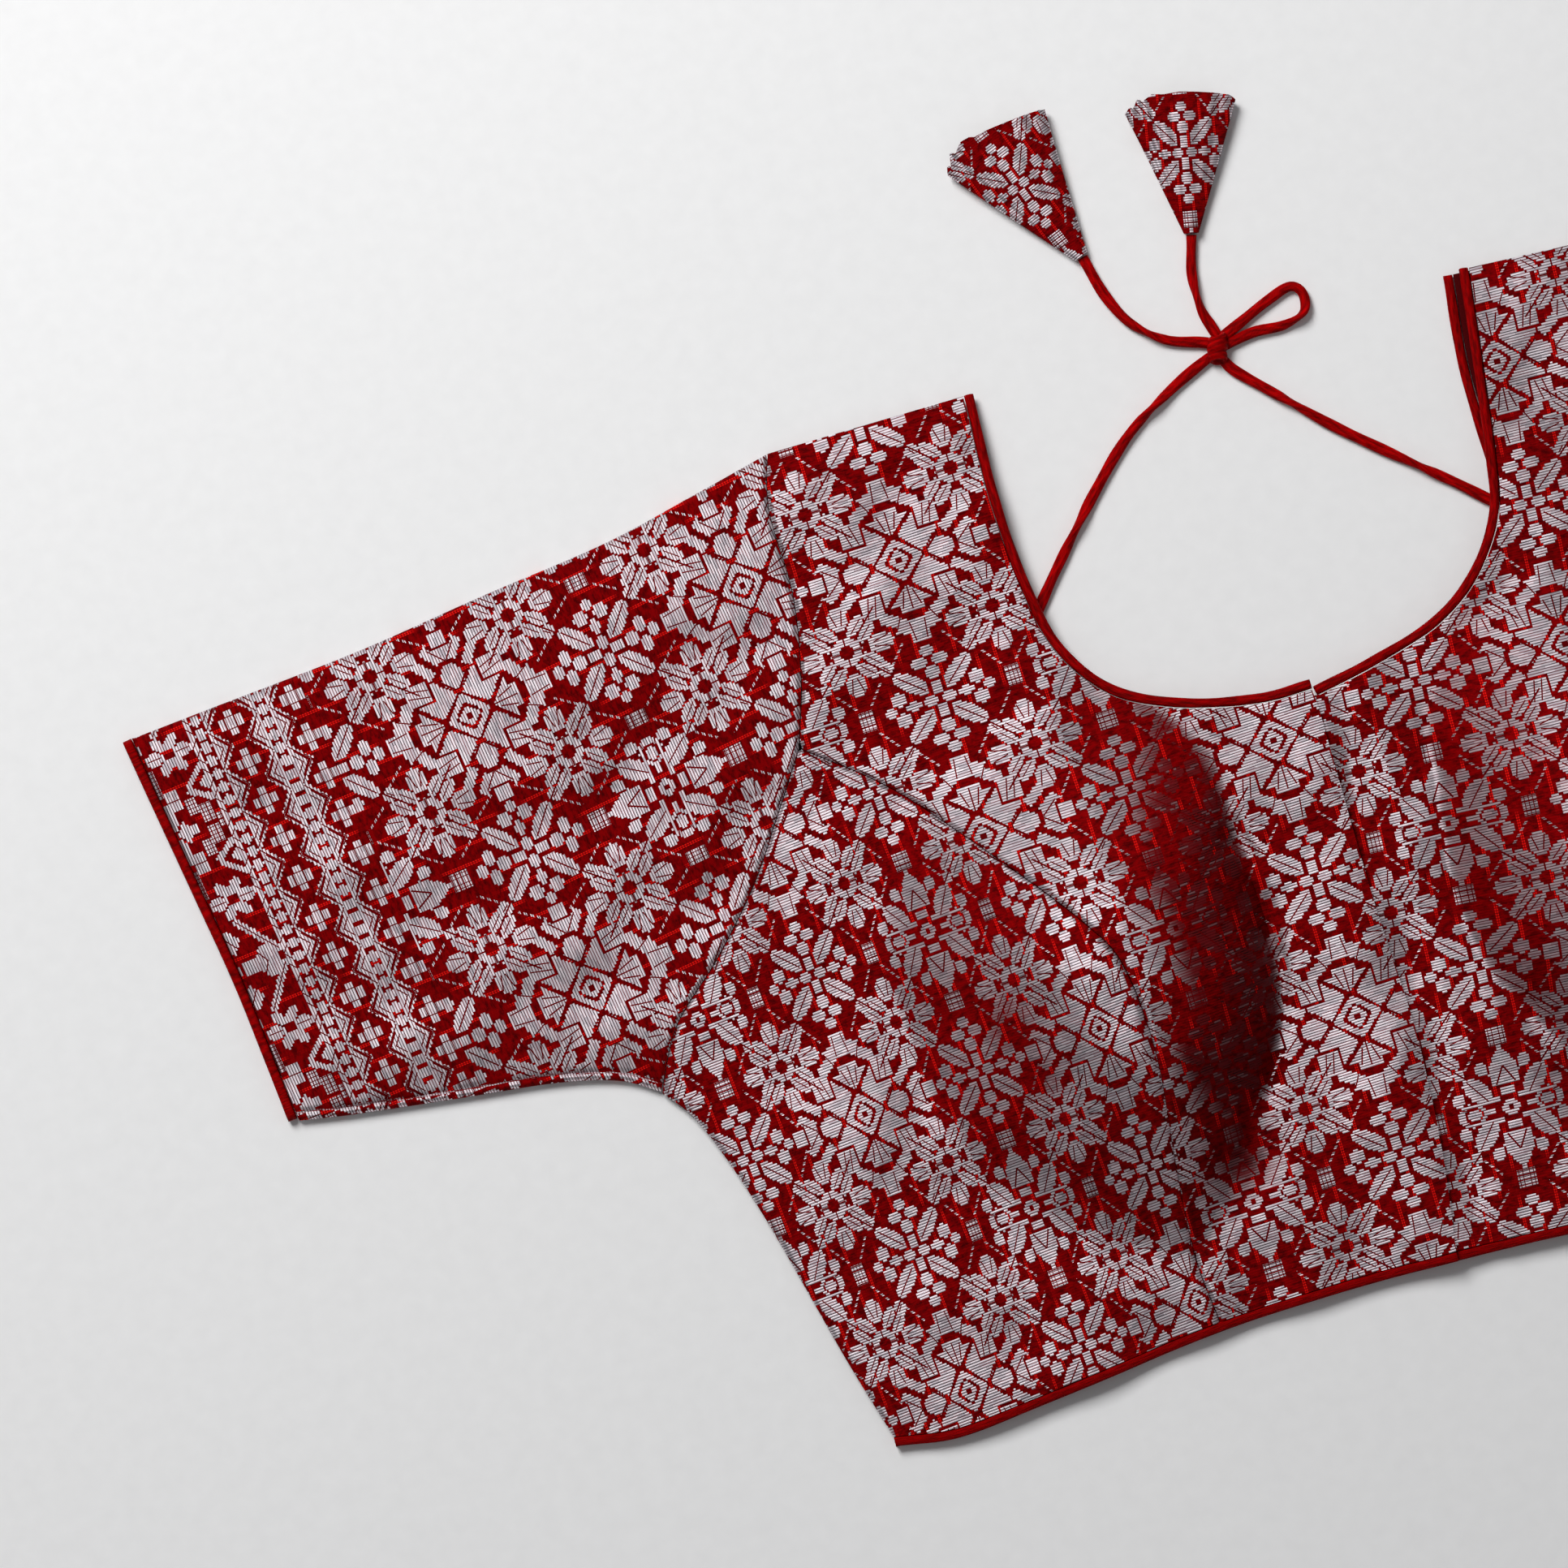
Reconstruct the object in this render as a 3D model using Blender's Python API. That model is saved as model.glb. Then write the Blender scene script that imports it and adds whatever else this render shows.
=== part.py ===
# A short sleeved saree blouse of figured brocade, laid flat on its back with the front up.
# Lengths are in millimetres until a mesh is made. X runs to the wearer's left and Y up to the
# shoulders, both from the foot of the front neck. Z runs up from the surface it lies on.
import math
from collections import namedtuple

import bmesh
import bpy
import numpy as np

MM = 0.001

# Cloth and trims
CLOTH = 1.5  # brocade together with its lining
SEAM_GAP = 0.3
PIPING_WIDTH = 3.4
NECK_PIPING_HEIGHT = 2.2
BACK_PIPING_HEIGHT = 1.7
BINDING_WIDTH = 3.2
DORI_DIAMETER = 3.6

# How high the upper layer lies over the surface
EDGE_HEIGHT = 3.6  # at the side seams, shoulders and sleeve folds
BODY_LOFT = 7.0
SLEEVE_LOFT = 6.0
EDGE_RUN = 13.0  # how far in from an edge the loft takes to build up
OPEN_EDGE_SHARE = 0.42  # of the loft that is left at the hem and the sleeve ends
OPEN_EDGE_RUN = 15.0

# The front opening, where the wearer's right front lies over the left one
OVERLAP_RISE = 1.5
OVERLAP_SPREAD = 16.0
UNDERLAP_DROP = 2.0
UNDERLAP_FROM = 10.0
UNDERLAP_TO = 22.0
STRIP_WIDTH = 13.0

# The cups
CUP_OUT = 88.0
CUP_UP = -84.0
CUP_HEIGHT = 44.0
CUP_FULLNESS = 2.4

# Pieces are named for the wearer's sides; the sign is that of X
SIDES = {"right": -1, "left": 1}

# Colours are linear
BROCADE = dict(color=(0.42, 0.22, 0.24, 1), roughness=0.45, metallic=0.25)
PIPING = dict(color=(0.22, 0.002, 0.005, 1), roughness=0.6, metallic=0.0)
DORI = dict(color=(0.28, 0.003, 0.006, 1), roughness=0.5, metallic=0.0)

# Outlines of the laid garment: mm out from the centre front, mm up from the foot of the neck
Point = namedtuple("Point", "out up")
HEM = [
    Point(0, -208.2),
    Point(40, -208.8),
    Point(84, -211.6),
    Point(123, -217),
    Point(154, -221.4),
    Point(183, -224.9),
    Point(204.5, -222.5),
]
SIDE_SEAM = [
    Point(205.4, -218.8),
    Point(214.9, -188.2),
    Point(230.9, -130.5),
    Point(243.7, -96.3),
    Point(254.3, -81.5),
]
ARMHOLE_LOW = [
    Point(254.3, -81.5),
    Point(242.8, -59.8),
    Point(223.9, -41.4),
    Point(205.1, -19.7),
    Point(190.3, 2.7),
    Point(177.4, 23.2),
]
ARMHOLE_HIGH = [
    Point(177.4, 23.2),
    Point(170.5, 47.6),
    Point(166.2, 76),
    Point(167, 106),
    Point(162.7, 126),
]
PRINCESS_SEAM = [
    Point(84.6, -208),
    Point(87.3, -184),
    Point(86.5, -147),
    Point(84.5, -108.5),
    Point(88, -77.5),
    Point(96.5, -61),
    Point(117.5, -34.5),
    Point(149, 0.8),
    Point(177.4, 23.2),
]
OVERLAP_EDGE = [
    Point(-1.5, -204.8),
    Point(-5.5, -170),
    Point(-7, -125),
    Point(-4.2, -80),
    Point(-3, -40),
    Point(-2, -3),
]
NECK = {
    "right": [
        Point(-1.5, 2.2),
        Point(16.6, 1.8),
        Point(42.7, 6.8),
        Point(64.8, 17),
        Point(79, 35.5),
        Point(85, 60),
        Point(87.8, 92),
        Point(87.4, 128.4),
    ],
    "left": [
        Point(2.2, -0.6),
        Point(23.8, 4.3),
        Point(47.8, 12.1),
        Point(65.2, 24.7),
        Point(77, 43),
        Point(81.2, 64.2),
        Point(84.4, 92.8),
        Point(88.3, 128.4),
    ],
}
BACK_NECK = {
    "right": [
        Point(0, -86),
        Point(45, -78),
        Point(72, -53),
        Point(85, -18),
        Point(87.5, 20),
        Point(87, 47),
        Point(91, 86),
        Point(92.5, 127.5),
    ],
    "left": [
        Point(0, -86),
        Point(45, -78),
        Point(72, -53),
        Point(84, -18),
        Point(84, 20),
        Point(82, 49),
        Point(80, 92),
        Point(82.6, 127.5),
    ],
}
SLEEVE_UNDER_EDGE = [
    Point(383.5, -59.2),
    Point(361.5, -62.3),
    Point(323, -66.2),
    Point(290, -69.3),
    Point(268, -74),
    Point(254.3, -81.5),
]
SLEEVE_FOLD = [
    Point(406.8, 84.2),
    Point(375, 88),
    Point(319.4, 94.6),
    Point(272, 102.6),
    Point(226.7, 109.6),
    Point(192.8, 118),
    Point(162.7, 126),
]
SLEEVE_END = [Point(383.5, -59.2), Point(389.9, -8.4), Point(396.3, 27), Point(406.8, 84.2)]

# How far a cup reaches in each direction. Angle 0 points to the centre front and 90 to the
# shoulder; a foot near 1 meets the flat cloth at a crease, and near 2 it runs out softly.
Reach = namedtuple("Reach", "angle reach foot")
CUP_REACH = [
    Reach(-180, 82, 2.0),
    Reach(-135, 84, 2.0),
    Reach(-90, 104, 1.8),
    Reach(-75, 88, 1.5),
    Reach(-60, 73, 1.25),
    Reach(-40, 63.5, 1.15),
    Reach(-20, 58, 1.1),
    Reach(0, 57, 1.1),
    Reach(20, 60.5, 1.1),
    Reach(40, 67, 1.15),
    Reach(52, 82, 1.4),
    Reach(70, 98, 1.8),
    Reach(90, 108, 2.0),
    Reach(135, 98, 2.0),
    Reach(180, 82, 2.0),
]

# Soft folds on either side of the body, deepest half way; a negative depth is a ridge
Fold = namedtuple("Fold", "out0 up0 out1 up1 width depth")
FOLDS = [
    Fold(150, -50, 166, -130, 15, 2.6),
    Fold(160, -128, 140, -185, 13, 2.2),
    Fold(196, -70, 178, -150, 14, -2.0),
    Fold(120, -150, 112, -205, 13, -2.0),
    Fold(34, -30, 24, -150, 12, 1.2),
    Fold(235, -45, 262, 40, 12, 1.0),
    Fold(300, -50, 318, 40, 16, -0.8),
]

# How finely each piece is divided
PRINCESS_ROWS = 20
ARMHOLE_HIGH_ROWS = 8
SIDE_SEAM_ROWS = 11
ARMHOLE_LOW_ROWS = PRINCESS_ROWS - SIDE_SEAM_ROWS
OPENING_ROWS = 13
NECK_ROWS = PRINCESS_ROWS + ARMHOLE_HIGH_ROWS - OPENING_ROWS
CENTRE_COLUMNS = 12
SIDE_COLUMNS = 10
BACK_SEAM_ROWS = 8
BACK_NECK_ROWS = SIDE_SEAM_ROWS + ARMHOLE_LOW_ROWS + ARMHOLE_HIGH_ROWS - BACK_SEAM_ROWS
BACK_COLUMNS = 6
SLEEVE_RINGS = 8
FINE_STEPS = 24  # samples between two points of a table when a curve is measured
PIPING_SIDES = 8
SLOPE_STEP = 0.5
TIP_SHARE = 0.8  # of its last row that a side front keeps, where three seams meet
FOLD_TURN = 1.3  # how far in a folded edge turns
FOLD_CLEARANCE = 0.15

# Half way between the hem and the shoulders, where the finished piece has its origin
UP_MIDDLE = -48.13


# Curves in the plan


def through(points, count):
    """A smooth curve through the points, as count + 1 points evenly spaced along it."""
    p = np.array(points, float)
    ends = np.vstack([2 * p[0] - p[1], p, 2 * p[-1] - p[-2]])
    t = np.linspace(0, 1, FINE_STEPS, endpoint=False)[:, None]
    runs = []
    for a, b, c, d in zip(ends, ends[1:], ends[2:], ends[3:], strict=False):
        bend = (2 * a - 5 * b + 4 * c - d) * t**2 + (3 * b - a - 3 * c + d) * t**3
        runs.append(0.5 * (2 * b + (c - a) * t + bend))
    fine = np.vstack([*runs, p[-1:]])
    along = np.append(0, np.cumsum(np.linalg.norm(np.diff(fine, axis=0), axis=1)))
    at = np.linspace(0, along[-1], count + 1)
    return np.stack([np.interp(at, along, fine[:, k]) for k in range(p.shape[1])], axis=1)


def joined(*curves):
    """Curves that follow on from each other, as one."""
    return np.vstack([curves[0], *(c[1:] for c in curves[1:])])


def moved(curve, distance):
    """A curve moved sideways, to its left as it runs."""
    step = np.gradient(curve, axis=0)
    step /= np.linalg.norm(step, axis=1)[:, None]
    return curve + distance * np.stack([-step[:, 1], step[:, 0]], axis=1)


def on_hem(out, inset):
    """Points on the hem line at these distances out, moved up by inset."""
    hem = through(HEM, 8 * FINE_STEPS)
    return np.stack([out, np.interp(out, hem[:, 0], hem[:, 1]) + inset], axis=1)


def hem_between(first, last, columns):
    """A panel's bottom edge, just above the binding, between two distances out."""
    return on_hem(np.linspace(first, last, columns + 1), BINDING_WIDTH + SEAM_GAP)


def patch(bottom, top, left, right):
    """Rows of points that fill the space between four edges."""
    s = np.linspace(0, 1, len(bottom))[None, :, None]
    t = np.linspace(0, 1, len(left))[:, None, None]
    across = (1 - s) * left[:, None] + s * right[:, None]
    upward = (1 - t) * bottom[None] + t * top[None]
    foot = (1 - s) * left[0] + s * right[0]
    head = (1 - s) * left[-1] + s * right[-1]
    return across + upward - (1 - t) * foot - t * head


def straight(a, b, count):
    return a + np.linspace(0, 1, count + 1)[:, None] * (b - a)


# Heights of the upper layer


def distance_to(x, y, curve):
    """How far each place in the plan is from a curve."""
    a, b = curve[:-1], curve[1:]
    run = b - a
    place = np.stack([x, y], axis=-1)[..., None, :]
    share = ((place - a) * run).sum(-1) / (run**2).sum(-1)
    nearest = a + np.clip(share, 0, 1)[..., None] * run
    return np.linalg.norm(place - nearest, axis=-1).min(axis=-1)


def closed_edge():
    """The seams and folds that close one side of the garment."""
    underarm = joined(through(SIDE_SEAM, 16), through(SLEEVE_UNDER_EDGE[::-1], 14))
    shoulder = [SLEEVE_FOLD[-1], Point(120, 129), Point(87, 129)]
    return underarm, joined(through(SLEEVE_FOLD, 24), through(shoulder, 6))


def open_edge():
    """The hem and the sleeve's end."""
    return through(HEM, 24), through(SLEEVE_END, 10)


UNDERARM, TOP_EDGE = closed_edge()
HEM_LINE, SLEEVE_LINE = open_edge()


def eased(x):
    x = np.clip(x, 0, 1)
    return x * x * (3 - 2 * x)


def cup(out, up):
    """How far the padded cup lifts the cloth."""
    toward, above = CUP_OUT - out, up - CUP_UP
    angle = np.degrees(np.arctan2(above, toward))
    table = np.array(CUP_REACH)
    reach = np.interp(angle, table[:, 0], table[:, 1])
    foot = np.interp(angle, table[:, 0], table[:, 2])
    share = np.clip(np.hypot(toward, above) / reach, 0, 1)
    return CUP_HEIGHT * (1 - share**CUP_FULLNESS) ** foot


def folds(out, up):
    total = np.zeros_like(out)
    for f in FOLDS:
        run = np.array([f.out1 - f.out0, f.up1 - f.up0])
        length = np.hypot(*run)
        along = ((out - f.out0) * run[0] + (up - f.up0) * run[1]) / length**2
        aside = ((out - f.out0) * run[1] - (up - f.up0) * run[0]) / length
        taper = np.sin(math.pi * np.clip(along, 0, 1)) ** 2
        total -= f.depth * taper * np.exp(-((aside / f.width) ** 2))
    return total


def upper(x, y):
    """The height of the upper layer's face at a place in the plan."""
    out = np.abs(x)
    closed = np.minimum(distance_to(out, y, UNDERARM), distance_to(out, y, TOP_EDGE))
    opened = np.minimum(distance_to(out, y, HEM_LINE), distance_to(out, y, SLEEVE_LINE))
    loft = SLEEVE_LOFT + (BODY_LOFT - SLEEVE_LOFT) * eased((185 - out) / 30)
    built = 1 - np.exp(-closed / EDGE_RUN)
    built *= OPEN_EDGE_SHARE + (1 - OPEN_EDGE_SHARE) * (1 - np.exp(-opened / OPEN_EDGE_RUN))
    rise = OVERLAP_RISE * np.exp(-((x / OVERLAP_SPREAD) ** 2))
    soft = (cup(out, y) + folds(out, y)) * (1 - np.exp(-closed / EDGE_RUN))
    return EDGE_HEIGHT + (loft - EDGE_HEIGHT) * built + rise + soft


def underlap(x, y):
    """The height of the left front, which dips under the right one at the opening."""
    return upper(x, y) - UNDERLAP_DROP * eased((UNDERLAP_TO - x) / (UNDERLAP_TO - UNDERLAP_FROM))


def lying_flat(x, y):
    """The height of the back, which rests on the surface."""
    return np.full_like(x, CLOTH)


def normals(height, x, y):
    dx = (height(x + SLOPE_STEP, y) - height(x - SLOPE_STEP, y)) / (2 * SLOPE_STEP)
    dy = (height(x, y + SLOPE_STEP) - height(x, y - SLOPE_STEP)) / (2 * SLOPE_STEP)
    n = np.stack([-dx, -dy, np.ones_like(dx)], axis=-1)
    return n / np.linalg.norm(n, axis=-1)[..., None]


# Meshes


def placed_object(name, data, look):
    """An object for a mesh or curve, with a material of its own."""
    obj = bpy.data.objects.new(name, data)
    bpy.context.scene.collection.objects.link(obj)
    material = bpy.data.materials.new(name)
    material.use_nodes = True
    shader = material.node_tree.nodes["Principled BSDF"]
    shader.inputs["Base Color"].default_value = look["color"]
    shader.inputs["Roughness"].default_value = look["roughness"]
    shader.inputs["Metallic"].default_value = look["metallic"]
    data.materials.append(material)
    return obj


def finish_mesh(name, bm, look):
    """Turns the faces outwards and makes the object."""
    bmesh.ops.recalc_face_normals(bm, faces=bm.faces)
    mesh = bpy.data.meshes.new(name)
    bm.to_mesh(mesh)
    bm.free()
    mesh.shade_smooth()
    return placed_object(name, mesh, look)


def to_metres(points):
    placed = np.array(points, float)
    placed[..., 1] -= UP_MIDDLE
    return placed * MM


def skin(bm, rings):
    """The sides of a solid through rings of equal count; returns the rings' vertices."""
    loops = [[bm.verts.new(p) for p in to_metres(ring)] for ring in rings]
    for low, high in zip(loops, loops[1:], strict=False):
        bridge(bm, low, high)
    return loops


def bridge(bm, low, high):
    """Faces between two rings of vertices."""
    for i in range(len(low)):
        j = (i + 1) % len(low)
        bm.faces.new((low[i], low[j], high[j], high[i]))


def strip_cap(bm, loop):
    """Closes a thin ring whose second half runs back along its first half."""
    last = len(loop) - 1
    for i in range(len(loop) // 2 - 1):
        bm.faces.new((loop[i], loop[i + 1], loop[last - i - 1], loop[last - i]))


def cloth_wall(name, plan, height, look, thickness=CLOTH):
    """A cloth panel: rows of points in the plan, lifted to a height, with their thickness below."""
    x, y = plan[..., 0], plan[..., 1]
    face = np.stack([x, y, height(x, y)], axis=-1)
    under = face - thickness * normals(height, x, y)
    rings = np.concatenate([face, under[:, ::-1]], axis=1)
    bm = bmesh.new()
    loops = skin(bm, rings)
    strip_cap(bm, loops[0])
    strip_cap(bm, loops[-1])
    return finish_mesh(name, bm, look)


def flat_tube(name, plan, height, look, wall=CLOTH):
    """A sleeve pressed flat: each row of the plan is one ring, over the top and back beneath."""
    rings_out, rings_in = [], []
    for row in plan:
        span = row[-1] - row[0]
        inset = (wall + FOLD_CLEARANCE) / np.linalg.norm(span)
        share = np.linspace(0, 1, len(row))[:, None]
        narrow = row + (0.5 - share) * 2 * inset * span
        rings_out.append(folded_ring(row, height, 0))
        rings_in.append(folded_ring(narrow, height, wall))
    bm = bmesh.new()
    outer, inner = skin(bm, rings_out), skin(bm, rings_in)
    bridge(bm, outer[0], inner[0])
    bridge(bm, outer[-1], inner[-1])
    return finish_mesh(name, bm, look)


def folded_ring(row, height, wall):
    """One ring of a flat tube: the folds at half height, the top lifted and the underside flat."""
    middle = EDGE_HEIGHT / 2
    x, y = row[:, 0], row[:, 1]
    top = np.maximum(height(x, y) - wall, middle + FOLD_CLEARANCE)
    top[[0, -1]] = middle
    low = np.full(len(row), float(wall))
    over = np.stack([x, y, top], axis=1)
    back = np.stack([x, y, low], axis=1)[1:-1][::-1]
    return np.vstack([over, back])


def tube(name, line, width, thick, look, sides=PIPING_SIDES):
    """A round or flattened cord along a line, with filled ends."""
    step = np.gradient(line, axis=0)
    step /= np.linalg.norm(step, axis=1)[:, None]
    aside = np.cross([0, 0, 1], step)
    aside /= np.linalg.norm(aside, axis=1)[:, None]
    upward = np.cross(step, aside)
    turn = np.arange(sides) * 2 * math.pi / sides + math.pi / sides
    rings = []
    for centre, a, u in zip(line, aside, upward, strict=True):
        half_width = np.cos(turn)[:, None] * a * width / 2
        rings.append(centre + half_width + np.sin(turn)[:, None] * u * thick / 2)
    bm = bmesh.new()
    loops = skin(bm, rings)
    bm.faces.new(loops[0])
    bm.faces.new(loops[-1])
    return finish_mesh(name, bm, look)


# The pieces


def mirrored(plan, side):
    """A plan worked out for the out direction, placed on the wearer's side."""
    placed = np.array(plan, float)
    placed[..., 0] *= side
    return placed


def princess(shift):
    return moved(through(PRINCESS_SEAM, PRINCESS_ROWS), shift)


def armhole(shift):
    curve = joined(
        through(ARMHOLE_LOW, ARMHOLE_LOW_ROWS), through(ARMHOLE_HIGH, ARMHOLE_HIGH_ROWS)
    )
    return moved(curve, shift)


def front_side(name, side):
    """The side front, from the side seam and armhole to the princess seam."""
    outer = joined(through(SIDE_SEAM, SIDE_SEAM_ROWS), armhole(SEAM_GAP / 2)[: ARMHOLE_LOW_ROWS + 1])
    inner = princess(-SEAM_GAP / 2)
    for edge in (outer, inner):
        edge[-1] = edge[-2] + TIP_SHARE * (edge[-1] - edge[-2])
    hem = hem_between(outer[0, 0], inner[0, 0], SIDE_COLUMNS)
    outer[0], inner[0] = hem[0], hem[-1]
    tip = straight(outer[-1], inner[-1], SIDE_COLUMNS)
    plan = patch(hem, tip, outer, inner)
    return cloth_wall(name, mirrored(plan, side), upper, BROCADE)


def neck_edge(which, inset):
    """The front neckline from the opening to the shoulder, moved into the cloth by inset."""
    return moved(through(NECK[which], NECK_ROWS), -inset)


def front_centre(name, which, side):
    """The centre front, from the princess seam and armhole to the opening and neckline."""
    seam = princess(SEAM_GAP / 2)
    high = armhole(SEAM_GAP / 2)[ARMHOLE_LOW_ROWS:]
    outer = joined(seam, high)
    neck = neck_edge(which, PIPING_WIDTH + SEAM_GAP)
    edge = through(OVERLAP_EDGE, OPENING_ROWS)
    if which == "left":
        edge[:, 0] = neck[0, 0]
    edge[-1] = neck[0]
    inner = joined(edge, neck)
    hem = hem_between(outer[0, 0], inner[0, 0], CENTRE_COLUMNS)
    outer[0], inner[0] = hem[0], hem[-1]
    shoulder = straight(outer[-1], inner[-1], CENTRE_COLUMNS)
    plan = patch(hem, shoulder, outer, inner)
    height = upper if which == "right" else underlap
    return cloth_wall(name, mirrored(plan, side), height, BROCADE)


def back_panel(name, which, side):
    """Half of the back, which lies flat on the surface."""
    outer = joined(through(SIDE_SEAM, SIDE_SEAM_ROWS), armhole(SEAM_GAP / 2))
    neck = moved(through(BACK_NECK[which], BACK_NECK_ROWS), -PIPING_WIDTH - SEAM_GAP)
    neck[0, 0] = SEAM_GAP / 2
    hem = hem_between(outer[0, 0], SEAM_GAP / 2, BACK_COLUMNS)
    inner = joined(straight(hem[-1], neck[0], BACK_SEAM_ROWS), neck)
    outer[0] = hem[0]
    shoulder = straight(outer[-1], inner[-1], BACK_COLUMNS)
    plan = patch(hem, shoulder, outer, inner)
    return cloth_wall(name, mirrored(plan, side), lying_flat, BROCADE)


def placket_strip(name):
    """The strip on the left front that the hooks catch, hidden under the right front."""
    rows = OPENING_ROWS
    neck_out, neck_up = neck_edge("left", PIPING_WIDTH + SEAM_GAP)[0]
    out = np.linspace(-STRIP_WIDTH, neck_out - SEAM_GAP, 4)
    hem = on_hem(np.abs(out), BINDING_WIDTH + SEAM_GAP)[:, 1]
    share = np.linspace(0, 1, rows + 1)[:, None]
    up = hem + share * (neck_up - hem)
    plan = np.stack([np.broadcast_to(out, up.shape), up], axis=-1)
    return cloth_wall(name, plan, underlap, BROCADE)


def sleeve(name, side):
    """A short sleeve, pressed flat, from its bound end to the armhole."""
    cap = armhole(-SEAM_GAP / 2)
    count = len(cap) - 1
    end = moved(through(SLEEVE_END, count), BINDING_WIDTH + SEAM_GAP)
    under = through(SLEEVE_UNDER_EDGE, SLEEVE_RINGS)
    fold = through(SLEEVE_FOLD, SLEEVE_RINGS)
    under[0], under[-1], fold[0], fold[-1] = end[0], cap[0], end[-1], cap[-1]
    plan = patch(end, cap, under, fold)
    plan = with_fold_points(plan)
    return flat_tube(name, mirrored(plan, side), upper, BROCADE)


def with_fold_points(plan):
    """Adds a point just inside each end of every row, where a folded edge turns."""
    rows = []
    for row in plan:
        first = row[0] + FOLD_TURN * (row[1] - row[0]) / np.linalg.norm(row[1] - row[0])
        last = row[-1] + FOLD_TURN * (row[-2] - row[-1]) / np.linalg.norm(row[-2] - row[-1])
        rows.append(np.vstack([row[:1], first, row[1:-1], last, row[-1:]]))
    return np.array(rows)


def sleeve_binding(name, side):
    """The red binding round the sleeve's end."""
    count = 12
    end = through(SLEEVE_END, count)
    plan = np.stack([end, moved(end, BINDING_WIDTH)])
    return flat_tube(name, mirrored(with_fold_points(plan), side), upper, PIPING)


def front_hem_stations(first):
    """Distances out at which the fronts' bottom edges have points, from the opening outwards."""
    seam = PRINCESS_SEAM[0].out
    centre = np.linspace(first, seam - SEAM_GAP / 2, CENTRE_COLUMNS + 1)
    side = np.linspace(seam + SEAM_GAP / 2, SIDE_SEAM[0].out, SIDE_COLUMNS + 1)
    return np.concatenate([centre, side])


def hem_binding(name, x, height):
    """A binding along the hem, through points at these places across."""
    low, high = on_hem(np.abs(x), 0), on_hem(np.abs(x), BINDING_WIDTH)
    low[:, 0] = high[:, 0] = x
    return cloth_wall(name, np.stack([low, high]), height, PIPING)


def front_neck_piping(name, which, side):
    line = mirrored(neck_edge(which, PIPING_WIDTH / 2), side)
    height = upper if which == "right" else underlap
    inside = mirrored(neck_edge(which, PIPING_WIDTH + SEAM_GAP), side)
    up = height(inside[:, 0], inside[:, 1]) - CLOTH / 2
    return tube(name, np.column_stack([line, up]), PIPING_WIDTH, NECK_PIPING_HEIGHT, PIPING)


def back_neck_piping(name):
    halves = []
    for which, side in SIDES.items():
        half = moved(through(BACK_NECK[which], BACK_NECK_ROWS), -PIPING_WIDTH / 2)
        half[0, 0] = 0
        halves.append(mirrored(half, side))
    line = joined(halves[0][::-1], halves[1])
    up = np.full(len(line), BACK_PIPING_HEIGHT / 2 + 0.05)
    return tube(name, np.column_stack([line, up]), PIPING_WIDTH, BACK_PIPING_HEIGHT, PIPING)


# The tie: its strands, in the plan, from the back neckline to the knot and on to the latkans
KNOT_OUT = -0.5
KNOT_UP = 122.3
KNOT_LEAN = 12.0  # degrees from the up direction
KNOT_TAPER = 0.82
KNOT_LENGTH = 13.0
KNOT_WIDTH = 8.0
KNOT_HEIGHT = 7.0
STRANDS = {
    "dori_right": [(-85.6, 47.4), (-74, 62), (-55, 84), (-38, 101), (-20, 112.5), (-5.6, 120.2)],
    "dori_left": [(80.5, 46.2), (68, 57), (50, 71.5), (32, 86.5), (14, 103.5), (2.6, 114.0)],
    "dori_tail_right": [(-4.0, 126.0), (-17, 130), (-27.5, 138.5), (-34, 150.5), (-38.3, 165.4)],
    "dori_tail_left": [(0.5, 129.9), (-2.4, 137), (-2.6, 150), (0.7, 163.5)],
}
LOOP = [
    (3.7, 126.5),
    (15, 131.4),
    (24.5, 136.6),
    (30.5, 136.2),
    (32.6, 131.2),
    (28.4, 126.4),
    (17, 123.4),
    (4.0, 121.7),
]
STRAND_STEP = 8.0
LOOP_STEP = 4.5
STRAND_LIFT = 0.05


def strand(name, plan, step=STRAND_STEP):
    """A length of the rolled cloth tie, lying on the surface."""
    length = np.linalg.norm(np.diff(np.array(plan), axis=0), axis=1).sum()
    line = through(plan, max(4, round(length / step)))
    middle = np.full(len(line), DORI_DIAMETER / 2 + STRAND_LIFT)
    curve = bpy.data.curves.new(name, "CURVE")
    curve.dimensions = "3D"
    curve.bevel_depth = DORI_DIAMETER / 2 * MM
    curve.bevel_resolution = 2
    curve.use_fill_caps = True
    spline = curve.splines.new("POLY")
    spline.points.add(len(line) - 1)
    for point, place in zip(spline.points, to_metres(np.column_stack([line, middle])), strict=True):
        point.co = (*place, 1)
    return placed_object(name, curve, DORI)


def knot(name):
    """The knot of the bow, a rounded lump that rests on the surface."""
    sides, stations = 12, 7
    turn = np.arange(sides) * 2 * math.pi / sides
    lean = math.radians(KNOT_LEAN)
    axis = np.array([math.sin(lean), math.cos(lean)])
    across = np.array([axis[1], -axis[0]])
    rings = []
    for share in np.linspace(-1, 1, stations):
        swell = math.sqrt(1 - KNOT_TAPER * share**2)
        middle = np.array([KNOT_OUT, KNOT_UP]) + axis * share * KNOT_LENGTH / 2
        aside = np.cos(turn) * swell * KNOT_WIDTH / 2
        up = (1 + np.sin(turn)) * swell * KNOT_HEIGHT / 2
        rings.append(np.column_stack([middle + aside[:, None] * across, up]))
    bm = bmesh.new()
    loops = skin(bm, rings)
    bm.faces.new(loops[0])
    bm.faces.new(loops[-1])
    return finish_mesh(name, bm, DORI)


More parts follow.
